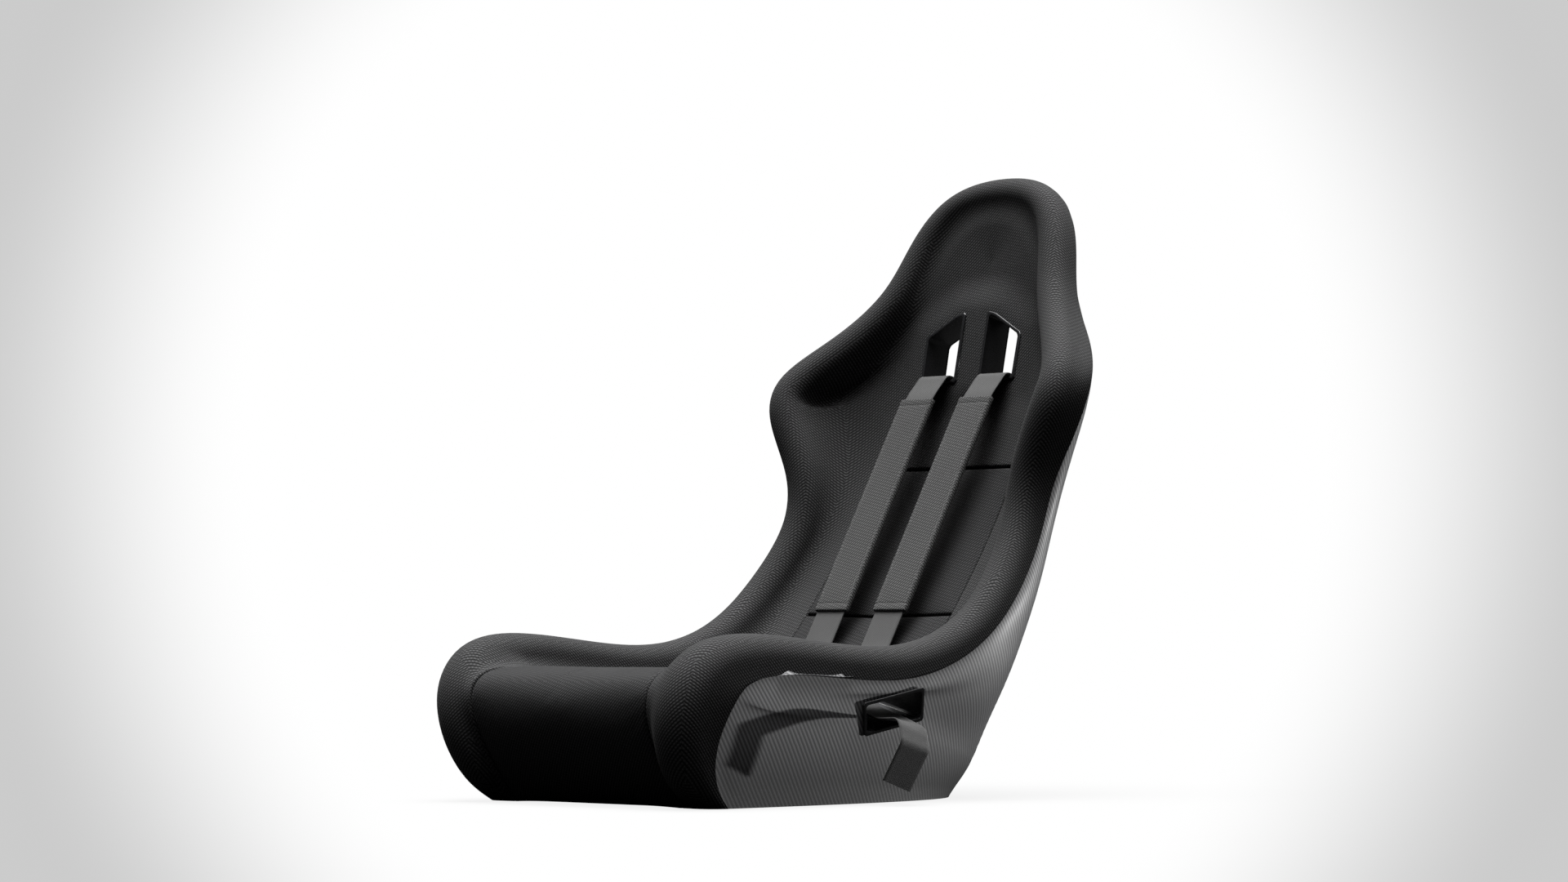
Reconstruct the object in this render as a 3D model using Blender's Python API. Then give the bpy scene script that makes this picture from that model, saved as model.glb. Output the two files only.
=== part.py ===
"""Fixed-back racing seat with a four-point harness, built as separate pieces.

Frame: metres, +Z up, the base rests on z = 0, the seat faces -Y, and X = 0 is
the plane of symmetry.  "left" is the occupant's left, which is +X.

The seat's skin is one lofted surface.  STATIONS holds its driving dimensions, from
the front floor edge, up the front roll, back along the pan, up the backrest and
over the head.  Every layer (shell, foam, cover, cushions) is a slab between two
depths below that skin, so the layers nest with a small gap and never overlap.
"""

import math

import bmesh
import bpy
import numpy as np
from mathutils import Vector

MM = 0.001
GAP = 0.3 * MM                 # air between two pieces that touch on the real seat

# ---------------------------------------------------------------- driving dimensions
# One line per station, in mm unless noted:
#   spine y, z | rim crest x, y, z | rim facing (deg) | crease place (share of rim x),
#   crease rise (share of rim height) | roll radius | rear centre y, z |
#   fullness of the rear wall | cover overlap past the roll
STATIONS = (
    (-238,   0,  184, -240,   0,  180, 0.83, 0.03,  24,  292,   0,  3.0,   4),   # floor edge
    (-266,  40,  184, -282,  22,  180, 0.83, 0.03,  30,  300,  10,  3.0,   8),
    (-296,  88,  192, -313,  78,  180, 0.82, 0.03,  36,  308,  18,  3.0,  32),
    (-311, 138,  202, -317, 146,  166, 0.80, 0.03,  37,  315,  27,  3.0,  45),   # front roll
    (-276, 172,  209, -272, 203,  132, 0.76, 0.04,  34,  322,  38,  3.0,  46),
    (-185, 160,  213, -188, 212,  100, 0.70, 0.05,  28,  326,  48,  3.0,  40),   # thigh
    (-80,  126,  216,  -85, 201,   88, 0.66, 0.05,  26,  328,  60,  3.0,  32),
    (30,   102,  218,   27, 189,   92, 0.63, 0.05,  25,  328,  76,  3.0,  22),   # pan
    (122,  112,  218,  114, 200,  103, 0.61, 0.05,  25,  328,  96,  3.0,  14),
    (195,  165,  217,  185, 233,  120, 0.61, 0.05,  25,  330, 125,  3.0,  12),   # hip
    (258,  240,  211,  240, 287,  135, 0.62, 0.06,  25,  340, 170,  3.0,  12),
    (325,  330,  197,  286, 354,  152, 0.65, 0.08,  25,  368, 240,  2.9,  16),   # waist
    (383,  423,  199,  293, 422,  170, 0.64, 0.10,  25,  406, 345,  2.8,  24),
    (415,  500,  235,  289, 484,  182, 0.50, 0.10,  25,  434, 460,  2.8,  40),   # shoulder
    (430,  560,  251,  297, 540,  172, 0.40, 0.06,  24,  450, 545,  2.6,  44),
    (440,  610,  191,  362, 594,  160, 0.52, 0.06,  23,  464, 610,  2.5,  44),   # neck
    (450,  650,  136,  410, 658,  160, 0.66, 0.16,  22,  475, 655,  2.4,  42),
    (456,  678,  120,  438, 731,  160, 0.64, 0.32,  21,  486, 684,  2.3,  40),   # head side
    (460,  695,   82,  463, 789,  158, 0.62, 0.45,  21,  495, 700,  2.2,  40),
    (461,  700,    0,  474, 801,  156, 0.60, 0.50,  21,  500, 705,  2.0,  40),   # head top
)
LAST = len(STATIONS) - 1

# Where the loose cushions meet each other and the one-piece cover, in stations.
SEAM_PAN_BACK = 8.30
SEAM_LOWER = 9.84
SEAM_UPPER = 12.03
SEAM_HALF_GAP = 0.015
CREASE_HALF_GAP = 1.2 * MM

COVER_THICK = 1.5 * MM
SHELL_THICK = 4.0 * MM
TAPE_THICK = 1.4 * MM          # hook-and-loop tape under the cushions
SHELL_UNDER_COVER = COVER_THICK + GAP
# Depth of the shell below the skin, along the spine: station -> mm.
PAD_DEPTH_STATIONS = (0, 9, 11, 12, 13, 16, 19)
PAD_DEPTH_MM = (28, 28, 24, 18, 12, 11, 12)

BASE_THICK = 5.0 * MM
BASE_FIT = 1.5 * MM             # bond line between the panel and the shell's foot
INSERT_XY = (0.125, 0.150)     # half pitch of the four threaded inserts
INSERT_FRONT_SHIFT = 0.010
INSERT_FLANGE_R = 0.014
INSERT_BARREL_R = 0.0065
INSERT_BORE_R = 0.0042
INSERT_LENGTH = 0.016
INSERT_FLANGE_T = 0.0015

# Shoulder-belt slot: outline in its own plane (across, up), in mm, for the left slot.
SLOT_OUTLINE = ((24, -40), (80, -39), (81, 17), (33, 44), (24, 46))
SLOT_CENTRE_Z = 0.580
SLOT_LEAN = math.radians(12.0)       # the slot plane leans back by this much
SLOT_FRONT_Y = 0.4275                # skin of the slot plane at the centre height
SLOT_DEPTH = 0.0310                   # front face to rear face of the backrest here
SLOT_WALL = 2.5 * MM
SLOT_LIP = 2.0 * MM
SLOT_LIP_THICK = 2.6 * MM
SLOT_STAND = -4.0 * MM               # the lip's rear face sits this far ahead of the skin
REAR_RING_AT = SLOT_DEPTH + 2.6 * MM

# Lap-belt slot in the side panel: outline (y, z) in mm on the outside.
LAP_OUTLINE = ((-13, 121), (79, 138), (86, 105), (-3, 88))
LAP_OUTER_X = 0.2358               # the panel here, at the slot's middle height
LAP_MID_Z = 0.113
LAP_LEAN = 0.27                      # the panel moves out this much per unit of height
LAP_RISE = 0.26                      # the tunnel climbs this much per unit inwards
LAP_WALL = 2.5 * MM
LAP_LIP = 1.8 * MM
LAP_LIP_THICK = 2.2 * MM

WEB_WIDTH = 0.0500                   # harness webbing
WEB_THICK = 0.0020
STRAP_X = 0.053                      # the shoulder belts' centre lines
PAD_TOP = (0.377, 0.514)             # y, z of a shoulder pad's ends
PAD_BOTTOM = (0.216, 0.236)
PAD_WIDTH = 0.058
PAD_THICK = 0.0084
PAD_SLOT_CLEAR = 0.0007
STRAP_REAR_CLEAR = 0.0125            # the tail hangs this far behind the rear ring
BUCKLE_Y = 0.050
BUCKLE_Z = 0.1135              # underside of the buckle, just above the cushion
BUCKLE_R = 0.031
LAP_END = (0.0850, 0.0450, 0.1185)   # the lap belt's sewn end on the left, x, y, z
LAP_TWIST = 0.30                     # the hanging tail's rear edge drops by this slope
LAP_TWIST_REACH = 0.050              # reached this far outside the panel, along the belt
SHOULDER_END = (0.0360, 0.1160, 0.1275)
SHOULDER_TONGUE_REACH = 0.060        # latch plate tip, measured from the belt's end
TONGUE_WIDTH = 0.046
TONGUE_NOSE = 0.018
TONGUE_THICK = 0.0025
TONGUE_INSIDE = 0.009                # a lap latch plate's nose reaches this far in


# ---------------------------------------------------------------- scene and materials
def clear_scene():
    for obj in list(bpy.data.objects):
        bpy.data.objects.remove(obj, do_unlink=True)


def material(name, colour, roughness, metallic=0.0):
    mat = bpy.data.materials.new(name)
    mat.use_nodes = True
    bsdf = mat.node_tree.nodes["Principled BSDF"]
    bsdf.inputs["Base Color"].default_value = (*colour, 1.0)
    bsdf.inputs["Roughness"].default_value = roughness
    bsdf.inputs["Metallic"].default_value = metallic
    return mat


def add_object(name, verts, faces, mat, origin=None):
    """One closed mesh as a named object; its origin may sit on a joint axis."""
    shift = Vector(origin) if origin is not None else Vector((0, 0, 0))
    mesh = bpy.data.meshes.new(name)
    bm = bmesh.new()
    made = [bm.verts.new(Vector(v) - shift) for v in verts]
    bm.verts.ensure_lookup_table()
    for face in faces:
        bm.faces.new([made[i] for i in face])
    bmesh.ops.remove_doubles(bm, verts=bm.verts, dist=1e-6)
    bmesh.ops.recalc_face_normals(bm, faces=bm.faces)
    bm.to_mesh(mesh)
    bm.free()
    mesh.materials.append(mat)
    obj = bpy.data.objects.new(name, mesh)
    obj.location = shift
    bpy.context.scene.collection.objects.link(obj)
    return obj


def cut(obj, cutter):
    mod = obj.modifiers.new("cut_" + cutter.name, "BOOLEAN")
    mod.operation = "DIFFERENCE"
    mod.solver = "EXACT"
    mod.object = cutter


def as_cutter(obj):
    obj.hide_render = True
    obj.display_type = "WIRE"
    return obj


# ---------------------------------------------------------------- the lofted skin
def unit(v):
    return v / np.linalg.norm(v)


def station_line(k):
    """Driving line k, extended past both ends of the table."""
    table = np.array(STATIONS, float)
    if k < 0:
        return 2 * table[0] - table[-k]
    if k > LAST:
        line = table[2 * LAST - k].copy()
        line[2] = -line[2]           # over the head the surface runs into its own mirror
        return line
    return table[k]


def blend(t):
    """Uniform cubic B-spline through the driving lines at station t."""
    i = int(min(max(math.floor(t), 0), LAST - 1))
    u = t - i
    weights = ((1 - u) ** 3, 3 * u ** 3 - 6 * u * u + 4, -3 * u ** 3 + 3 * u * u + 3 * u + 1, u ** 3)
    return sum(w * station_line(i + n - 1) for n, w in enumerate(weights)) / 6


def station(t):
    """Spine, rim, roll frame and rear centre at station t, in metres."""
    line = blend(t)
    before = blend(max(t - 1e-3, 0))
    after = blend(min(t + 1e-3, LAST))
    spine = np.array([0, line[0], line[1]]) * MM
    rim = line[2:5] * MM
    along = np.array([-1.0, 0, 0]) if t >= LAST else unit(after[2:5] - before[2:5])
    lean = math.radians(line[5])
    facing = np.array([0, math.cos(lean), math.sin(lean)])
    near_floor = min(t / 2, 1.0)     # the first station lies flat on the floor
    facing = unit(facing - facing.dot(along) * along * near_floor)
    outward = np.cross(along, facing)
    outward[2] *= near_floor
    crease = spine + np.array([line[6] * rim[0], 0, 0])
    crease = crease + line[7] * (rim - spine) * np.array([0, 1, 1])
    return {
        "spine": spine,
        "rim": rim,
        "facing": facing,
        "outward": unit(outward),
        "crease": crease,
        "radius": line[8] * MM,
        "rear": np.array([0, line[9], line[10]]) * MM,
        "fullness": line[11],
        "overlap": max(line[12], 2) * MM,
    }


def bezier(p0, p1, p2, p3, k):
    return p0 * (1 - k) ** 3 + 3 * p1 * k * (1 - k) ** 2 + 3 * p2 * k * k * (1 - k) + p3 * k ** 3


CUSHION_SHARES = (0.0, 0.4, 0.8)
WALL_STEPS = (0.35, 0.7, 1.0)
ROLL_STEPS = 5
FLANK_STEPS = (0.10, 0.28, 0.46, 0.62, 0.76, 0.88, 1.0)
COL_CUSHION_EDGE = len(CUSHION_SHARES)
COL_WALL = COL_CUSHION_EDGE + 1
COL_ROLL = COL_WALL + len(WALL_STEPS)
COL_OUT = COL_ROLL + ROLL_STEPS
COL_TRIM = COL_OUT + 1
COL_REAR = COL_TRIM + len(FLANK_STEPS)


def flank(s, start):
    """The outer wall, from the outside of the roll round to the rear centre line."""
    power = s["fullness"]
    lead = s["overlap"] + 0.03
    angles = np.linspace(0, math.pi / 2, 121)
    scale = (np.cos(angles) ** power + np.sin(angles) ** power) ** (-1 / power)
    across = np.cos(angles) * scale
    back = np.sin(angles) * scale
    sweep = start + np.outer(back, s["rear"] - start)
    sweep[:, 0] = start[0] * across
    arc = np.r_[0, np.cumsum(np.linalg.norm(np.diff(sweep, axis=0), axis=1))]
    ease = np.clip(arc / lead, 0, 1)
    ease = (ease * ease * (3 - 2 * ease))[:, None]
    straight = start - np.outer(np.minimum(arc, lead), s["facing"])
    path = straight * (1 - ease) + sweep * ease
    arc = np.r_[0, np.cumsum(np.linalg.norm(np.diff(path, axis=0), axis=1))]
    wanted = [s["overlap"]] + [s["overlap"] + k * (arc[-1] - s["overlap"]) for k in FLANK_STEPS]
    return [np.array([np.interp(w, arc, path[:, n]) for n in range(3)]) for w in wanted]


def section(t):
    """Points of the half section (x >= 0) at station t, spine to rear centre."""
    s = station(t)
    spine, crease, radius = s["spine"], s["crease"], s["radius"]
    across = unit(crease - spine)
    width = np.linalg.norm(crease - spine)
    points = [spine + across * width * share for share in CUSHION_SHARES]
    points.append(crease - across * CREASE_HALF_GAP * min(1.0, width / 0.02))

    centre = s["rim"] - radius * s["facing"]
    height = (s["rim"] - crease).dot(s["facing"])
    start = math.radians(90 + 85 * min(max(height / (1.7 * radius), 0.05), 1.0))

    def on_roll(angle):
        return centre + radius * (math.cos(angle) * s["outward"] + math.sin(angle) * s["facing"])

    top = on_roll(start)
    heading = math.sin(start) * s["outward"] - math.cos(start) * s["facing"]
    reach = np.linalg.norm(top - crease)
    handles = (crease, crease + across * reach * 0.38, top - heading * reach * 0.42, top)
    points.append(bezier(*handles, CREASE_HALF_GAP / reach))
    points += [bezier(*handles, k) for k in WALL_STEPS]
    points += [on_roll(start * (1 - (n + 1) / ROLL_STEPS)) for n in range(ROLL_STEPS)]
    points += flank(s, points[-1])
    return np.array(points)


def row_stations():
    """Station values of the rows, with a pair of rows at each seam."""
    plain = [0, 0.6, 1.2, 1.8, 2.4, 2.9, 3.4, 3.9, 4.5, 5.2, 6.0, 6.8, 7.6, 9.05, 10.6, 11.35,
             12.6, 13.1, 13.6, 14.1, 14.6, 15.1, 15.7, 16.4, 17.1, 17.8, 18.4, 19]
    seams = [SEAM_PAN_BACK, SEAM_LOWER, SEAM_UPPER]
    paired = [s + side * SEAM_HALF_GAP for s in seams for side in (-1, 1)]
    return sorted(plain + paired)


ROWS = row_stations()
ROW_LAST = len(ROWS) - 1


def relax_flank(grid, rounds=14):
    """Even out each line of the outer wall from the floor up over the head."""
    mirror = np.array([-1.0, 1.0, 1.0])
    for _ in range(rounds):
        above = np.concatenate([grid[2:], grid[-2:-1] * mirror])
        around = grid[:-1] + above
        grid[1:, COL_TRIM + 1:] = 0.5 * grid[1:, COL_TRIM + 1:] + 0.25 * around[:, COL_TRIM + 1:]
        grid[-1, :, 0] = 0.0


class Skin:
    """The welded skin: vertices, outward normals, and quads tagged (row, col, side)."""

    def __init__(self):
        grid = np.array([section(t) for t in ROWS])
        grid[0, :, 2] = 0.0
        relax_flank(grid)
        self.index = {}
        self.verts = []
        self.row = []
        self.col = []
        lookup = {}
        for side in (1, -1):
            for i in range(grid.shape[0]):
                for j in range(grid.shape[1]):
                    p = grid[i, j] * np.array([side, 1, 1])
                    key = tuple(np.round(p / 1e-6).astype(int))
                    if key not in lookup:
                        lookup[key] = len(self.verts)
                        self.verts.append(p)
                        self.row.append(i)
                        self.col.append(j)
                    self.index[i, j, side] = lookup[key]
        self.verts = np.array(self.verts)
        self.quads = {}
        for side in (1, -1):
            for i in range(grid.shape[0] - 1):
                for j in range(grid.shape[1] - 1):
                    ring = [(i, j), (i, j + 1), (i + 1, j + 1), (i + 1, j)]
                    if side < 0:
                        ring = [ring[0], ring[3], ring[2], ring[1]]
                    if j == 0 and i == grid.shape[0] - 2:
                        ring = ring[1:] + ring[:1]   # keep both halves of this quad off x = 0
                    self.quads[i, j, side] = [self.index[a, b, side] for a, b in ring]
        self.normals = self.find_normals()

    def find_normals(self):
        normals = np.zeros_like(self.verts)
        for quad in self.quads.values():
            p = self.verts[quad]
            n = np.cross(p[2] - p[0], p[3] - p[1])
            size = np.linalg.norm(n)
            if size > 1e-12:
                for v in quad:
                    normals[v] += n / size
        for v, i in enumerate(self.row):
            if i == 0:
                normals[v][2] = 0.0
        return normals / np.linalg.norm(normals, axis=1)[:, None]


def shell_depths(skin):
    """Depth of the shell's outer face below the skin, for every skin vertex."""
    share = (0.80, 0.74, 0.66, 0.55, 0.38, 0.20)     # of the roll radius, along the roll
    depths = np.zeros(len(skin.verts))
    for v in range(len(skin.verts)):
        t, j = ROWS[skin.row[v]], skin.col[v]
        middle = np.interp(t, PAD_DEPTH_STATIONS, PAD_DEPTH_MM) * MM
        radius = station(t)["radius"]
        if j <= COL_WALL:
            depths[v] = middle
        elif j <= COL_ROLL:
            k = (j - COL_WALL) / (COL_ROLL - COL_WALL)
            depths[v] = middle * (1 - k) + share[0] * radius * k
        elif j < COL_OUT:
            depths[v] = share[j - COL_ROLL] * radius
        else:
            depths[v] = SHELL_UNDER_COVER
    return depths


def slab(name, skin, keep, top, bottom, mat):
    """A closed solid between two depths under the quads that keep() accepts."""
    quads = [q for tag, q in skin.quads.items() if keep(*tag)]
    used = sorted({v for q in quads for v in q})
    place = {v: n for n, v in enumerate(used)}
    count = len(used)
    verts = [skin.verts[v] - skin.normals[v] * top[v] for v in used]
    verts += [skin.verts[v] - skin.normals[v] * bottom[v] for v in used]
    halves = [half for q in quads for half in ((q[0], q[1], q[2]), (q[0], q[2], q[3]))]
    faces = [[place[v] for v in half] for half in halves]
    faces += [[place[v] + count for v in reversed(half)] for half in halves]
    edges = {}
    for q in quads:
        for a, b in zip(q, q[1:] + q[:1]):
            edges[a, b] = True
    for a, b in edges:
        if (b, a) not in edges:
            faces.append([place[b], place[a], place[a] + count, place[b] + count])
    return add_object(name, verts, faces, mat)


# ---------------------------------------------------------------- plain solids
def prism(outline, place, low, high):
    """Verts and faces of an outline extruded between two depths; place(a, b, d) -> xyz."""
    n = len(outline)
    verts = [place(a, b, low) for a, b in outline] + [place(a, b, high) for a, b in outline]
    faces = [list(range(n))[::-1], list(range(n, 2 * n))]
    faces += [[i, (i + 1) % n, n + (i + 1) % n, n + i] for i in range(n)]
    return verts, faces


def tube(loops):
    """A ring-shaped solid from closed loops of equal length, joined round in order."""
    n = len(loops[0])
    verts = [p for loop in loops for p in loop]
    faces = []
    for k in range(len(loops)):
        m = (k + 1) % len(loops)
        for i in range(n):
            j = (i + 1) % n
            faces.append([k * n + i, k * n + j, m * n + j, m * n + i])
    return verts, faces


def lathe(profile, centre, axis, steps, lobes=0, lobe_depth=0.0, lobes_above=0.0):
    """A solid of revolution about axis through centre; profile is (radius, height) pairs.

    The profile runs from the top of the axis, out and down, and back to the axis, or
    is a closed ring away from the axis.  Lobes make the outline wavy, for finger grip,
    above a height; below it the solid is round.
    """
    axis = Vector(axis).normalized()
    side = axis.orthogonal().normalized()
    other = axis.cross(side)
    centre = Vector(centre)
    closed = profile[0][0] > 0
    verts = []
    rings = []
    for radius, height in profile:
        if radius == 0:
            rings.append([len(verts)])
            verts.append(centre + axis * height)
            continue
        rings.append(list(range(len(verts), len(verts) + steps)))
        depth = lobe_depth if height > lobes_above else 0.0
        for n in range(steps):
            a = 2 * math.pi * n / steps
            spoke = (math.cos(a) * side + math.sin(a) * other) * (1 + depth * math.cos(lobes * a))
            verts.append(centre + axis * height + spoke * radius)
    faces = []
    pairs = list(zip(rings, rings[1:])) + ([(rings[-1], rings[0])] if closed else [])
    for one, two in pairs:
        for n in range(steps):
            m = (n + 1) % steps
            if len(one) == 1:
                faces.append([one[0], two[m], two[n]])
            elif len(two) == 1:
                faces.append([one[n], one[m], two[0]])
            else:
                faces.append([one[n], one[m], two[m], two[n]])
    return verts, faces


def ribbon(stations, width, thick):
    """Webbing along (centre, width direction) pairs: a closed flat band."""
    centres = [Vector(c) for c, _ in stations]
    verts = []
    for k, (_, across) in enumerate(stations):
        before = centres[max(k - 1, 0)]
        after = centres[min(k + 1, len(centres) - 1)]
        along = (after - before).normalized()
        across = Vector(across)
        across = (across - along * across.dot(along)).normalized()
        normal = along.cross(across)
        half = across * width / 2
        up = normal * thick / 2
        verts += [centres[k] - half - up, centres[k] + half - up,
                  centres[k] + half + up, centres[k] - half + up]
    faces = [[3, 2, 1, 0]]
    for k in range(len(centres) - 1):
        a, b = 4 * k, 4 * (k + 1)
        # Both broad faces split along the same diagonal, so a twist keeps its thickness.
        faces += [[a, a + 1, b], [a + 1, b + 1, b]]
        for i in (1, 2, 3):
            j = (i + 1) % 4
            faces += [[a + i, a + j, b + j], [a + i, b + j, b + i]]
    last = 4 * (len(centres) - 1)
    faces.append([last, last + 1, last + 2, last + 3])
    return verts, faces


def rounded_path(corners, radii, steps=5):
    """Polyline through corners with each inner corner rounded off."""
    points = [Vector(corners[0])]
    for k in range(1, len(corners) - 1):
        here = Vector(corners[k])
        back = (Vector(corners[k - 1]) - here).normalized()
        ahead = (Vector(corners[k + 1]) - here).normalized()
        size = radii[k - 1]
        for n in range(steps + 1):
            u = n / steps
            p = here + back * size * (1 - u) ** 2 + ahead * size * u ** 2
            points.append(p)
    points.append(Vector(corners[-1]))
    return points


# ---------------------------------------------------------------- belt slots
def grow(outline, amount):
    """A convex outline moved outwards by amount on every side."""
    n = len(outline)
    centre = Vector((sum(p[0] for p in outline) / n, sum(p[1] for p in outline) / n))
    lines = []
    for i in range(n):
        a, b = Vector(outline[i]), Vector(outline[(i + 1) % n])
        normal = Vector(((b - a).y, -(b - a).x)).normalized()
        if normal.dot((a + b) / 2 - centre) < 0:
            normal = -normal
        lines.append((normal, normal.dot(a) + amount))
    grown = []
    for i in range(n):
        (n1, d1), (n2, d2) = lines[i - 1], lines[i]
        det = n1.x * n2.y - n1.y * n2.x
        grown.append(((d1 * n2.y - d2 * n1.y) / det, (n1.x * d2 - n2.x * d1) / det))
    return grown


def soften(outline, size):
    """Each corner of an outline replaced by two points, size away from the corner."""
    out = []
    n = len(outline)
    for i in range(n):
        here = Vector(outline[i])
        back = (Vector(outline[i - 1]) - here).normalized()
        ahead = (Vector(outline[(i + 1) % n]) - here).normalized()
        out += [tuple(here + back * size), tuple(here + ahead * size)]
    return out


def slot_place(side):
    """Map (across, up, depth) of a shoulder slot to world; depth runs rearwards."""
    up = Vector((0, math.sin(SLOT_LEAN), math.cos(SLOT_LEAN)))
    rear = Vector((0, math.cos(SLOT_LEAN), -math.sin(SLOT_LEAN)))
    origin = Vector((0, SLOT_FRONT_Y, SLOT_CENTRE_Z))

    def place(a, b, d):
        return origin + Vector((side * a, 0, 0)) + up * b + rear * d

    return place


def lap_place(side):
    """Map (y, z on the outside, depth) of a lap slot to world; depth runs inwards."""
    def place(a, b, d):
        outside = LAP_OUTER_X + LAP_LEAN * (b - LAP_MID_Z)
        return Vector((side * (outside - d), a, b + LAP_RISE * d))

    return place


def outline_m(outline_mm):
    return [(a * MM, b * MM) for a, b in outline_mm]


def shoulder_slot_cutter(name, side, mat):
    hole = soften(grow(outline_m(SLOT_OUTLINE), SLOT_WALL + GAP), 3 * MM)
    verts, faces = prism(hole, slot_place(side), -0.06, 0.10)
    return as_cutter(add_object(name, verts, faces, mat))


def lap_slot_cutter(name, side, mat):
    hole = soften(grow(outline_m(LAP_OUTLINE), LAP_WALL + GAP), 3 * MM)
    verts, faces = prism(hole, lap_place(side), -0.03, 0.115)
    return as_cutter(add_object(name, verts, faces, mat))


def shoulder_bezel(name, side, mat):
    """Tunnel through the backrest with a lip standing proud of the cover."""
    place = slot_place(side)
    inner = soften(outline_m(SLOT_OUTLINE), 3 * MM)
    outer = soften(grow(outline_m(SLOT_OUTLINE), SLOT_WALL), 3 * MM)
    lip = soften(grow(outline_m(SLOT_OUTLINE), SLOT_WALL + SLOT_LIP), 3 * MM)
    lip_front = soften(grow(outline_m(SLOT_OUTLINE), SLOT_WALL + SLOT_LIP - 1 * MM), 3 * MM)
    front = SLOT_STAND - SLOT_LIP_THICK
    loops = [
        [place(a, b, SLOT_DEPTH + 2 * MM) for a, b in inner],
        [place(a, b, front) for a, b in inner],
        [place(a, b, front) for a, b in lip_front],
        [place(a, b, front + 1 * MM) for a, b in lip],
        [place(a, b, SLOT_STAND) for a, b in lip],
        [place(a, b, SLOT_STAND) for a, b in outer],
        [place(a, b, SLOT_DEPTH + 2 * MM) for a, b in outer],
    ]
    verts, faces = tube(loops)
    return add_object(name, verts, faces, mat)


def rear_ring(name, side, mat):
    """Flat trim ring that closes the slot off behind the shell."""
    place = slot_place(side)
    inner = soften(outline_m(SLOT_OUTLINE), 3 * MM)
    lip = soften(grow(outline_m(SLOT_OUTLINE), SLOT_WALL + SLOT_LIP), 3 * MM)
    loops = [
        [place(a, b, REAR_RING_AT) for a, b in inner],
        [place(a, b, REAR_RING_AT) for a, b in lip],
        [place(a, b, REAR_RING_AT + 2 * MM) for a, b in lip],
        [place(a, b, REAR_RING_AT + 2 * MM) for a, b in inner],
    ]
    verts, faces = tube(loops)
    return add_object(name, verts, faces, mat)


def lap_bezel(name, side, mat):
    """Tunnel through the side bolster with a lip on the outer panel."""
    place = lap_place(side)
    inner = soften(outline_m(LAP_OUTLINE), 3 * MM)
    outer = soften(grow(outline_m(LAP_OUTLINE), LAP_WALL), 3 * MM)
    lip = soften(grow(outline_m(LAP_OUTLINE), LAP_WALL + LAP_LIP), 3 * MM)
    mean_z = sum(b for _, b in inner) / len(inner)

    def inside(a, b):
        """Depth where the tunnel meets the sloping bolster wall."""
        return 0.062 - (b - mean_z) * 0.75

    loops = [
        [place(a, b, inside(a, b)) for a, b in inner],
        [place(a, b, -LAP_LIP_THICK) for a, b in inner],
        [place(a, b, -LAP_LIP_THICK) for a, b in lip],
        [place(a, b, 0.0) for a, b in lip],
        [place(a, b, 0.0) for a, b in outer],
        [place(a, b, inside(a, b)) for a, b in outer],
    ]
    verts, faces = tube(loops)
    return add_object(name, verts, faces, mat)


# ---------------------------------------------------------------- base
def base_panel(skin, depths, mat):
    """Flat panel bonded inside the shell's foot, flush with the floor plane.

    Its two front corners are cut straight across, clear of the shell's corner folds.
    """
    columns = [j for j in range(COL_REAR + 1) if j <= COL_WALL or j >= COL_OUT]
    ring = [skin.index[0, j, 1] for j in columns]
    ring += [skin.index[0, j, -1] for j in reversed(columns[1:-1])]
    inset = [skin.verts[v] - skin.normals[v] * (depths[v] + SHELL_THICK + BASE_FIT) for v in ring]
    outline = [(p[0], p[1]) for p in inset]
    verts, faces = prism(outline, lambda a, b, d: Vector((a, b, d)), 0.0, BASE_THICK)
    return add_object("base_panel", verts, faces, mat)


def insert_places():
    dx, dy = INSERT_XY
    return {
        "front_left": (dx, -dy + INSERT_FRONT_SHIFT),
        "front_right": (-dx, -dy + INSERT_FRONT_SHIFT),
        "rear_left": (dx, dy),
        "rear_right": (-dx, dy),
    }


def base_insert(name, x, y, mat):
    """Flanged blind-side insert: the flange sits on top of the panel."""
    top = BASE_THICK + GAP
    profile = [
        (INSERT_BORE_R, INSERT_LENGTH),
        (INSERT_BARREL_R, INSERT_LENGTH),
        (INSERT_BARREL_R, top + INSERT_FLANGE_T),
        (INSERT_FLANGE_R, top + INSERT_FLANGE_T),
        (INSERT_FLANGE_R, top),
        (INSERT_BARREL_R, top),
        (INSERT_BARREL_R, 0.0),
        (INSERT_BORE_R, 0.0),
    ]
    verts, faces = lathe(profile, (x, y, 0), (0, 0, 1), 20)
    return add_object(name, verts, faces, mat)


# ---------------------------------------------------------------- harness
def shoulder_line(side):
    """Corners of a shoulder belt's centre line, from the tail behind the seat."""
    x = side * STRAP_X
    lean = Vector((0, PAD_TOP[0] - PAD_BOTTOM[0], PAD_TOP[1] - PAD_BOTTOM[1])).normalized()
    place = slot_place(side)
    floor = SLOT_OUTLINE[0][1] * MM + 3.8 * MM
    corners = [
        place(STRAP_X, floor - 0.125, REAR_RING_AT + STRAP_REAR_CLEAR),
        place(STRAP_X, floor, REAR_RING_AT + STRAP_REAR_CLEAR),
        place(STRAP_X, floor, SLOT_STAND - SLOT_LIP_THICK - 0.0065),
        Vector((x, *PAD_TOP)) + lean * 0.004,
        Vector((x, *PAD_BOTTOM)) - lean * 0.055,
        Vector((side * 0.0505, SHOULDER_END[1] + 0.038, SHOULDER_END[2] + 0.0245)),
        Vector((side * SHOULDER_END[0], SHOULDER_END[1], SHOULDER_END[2])),
    ]
    return corners


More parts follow.
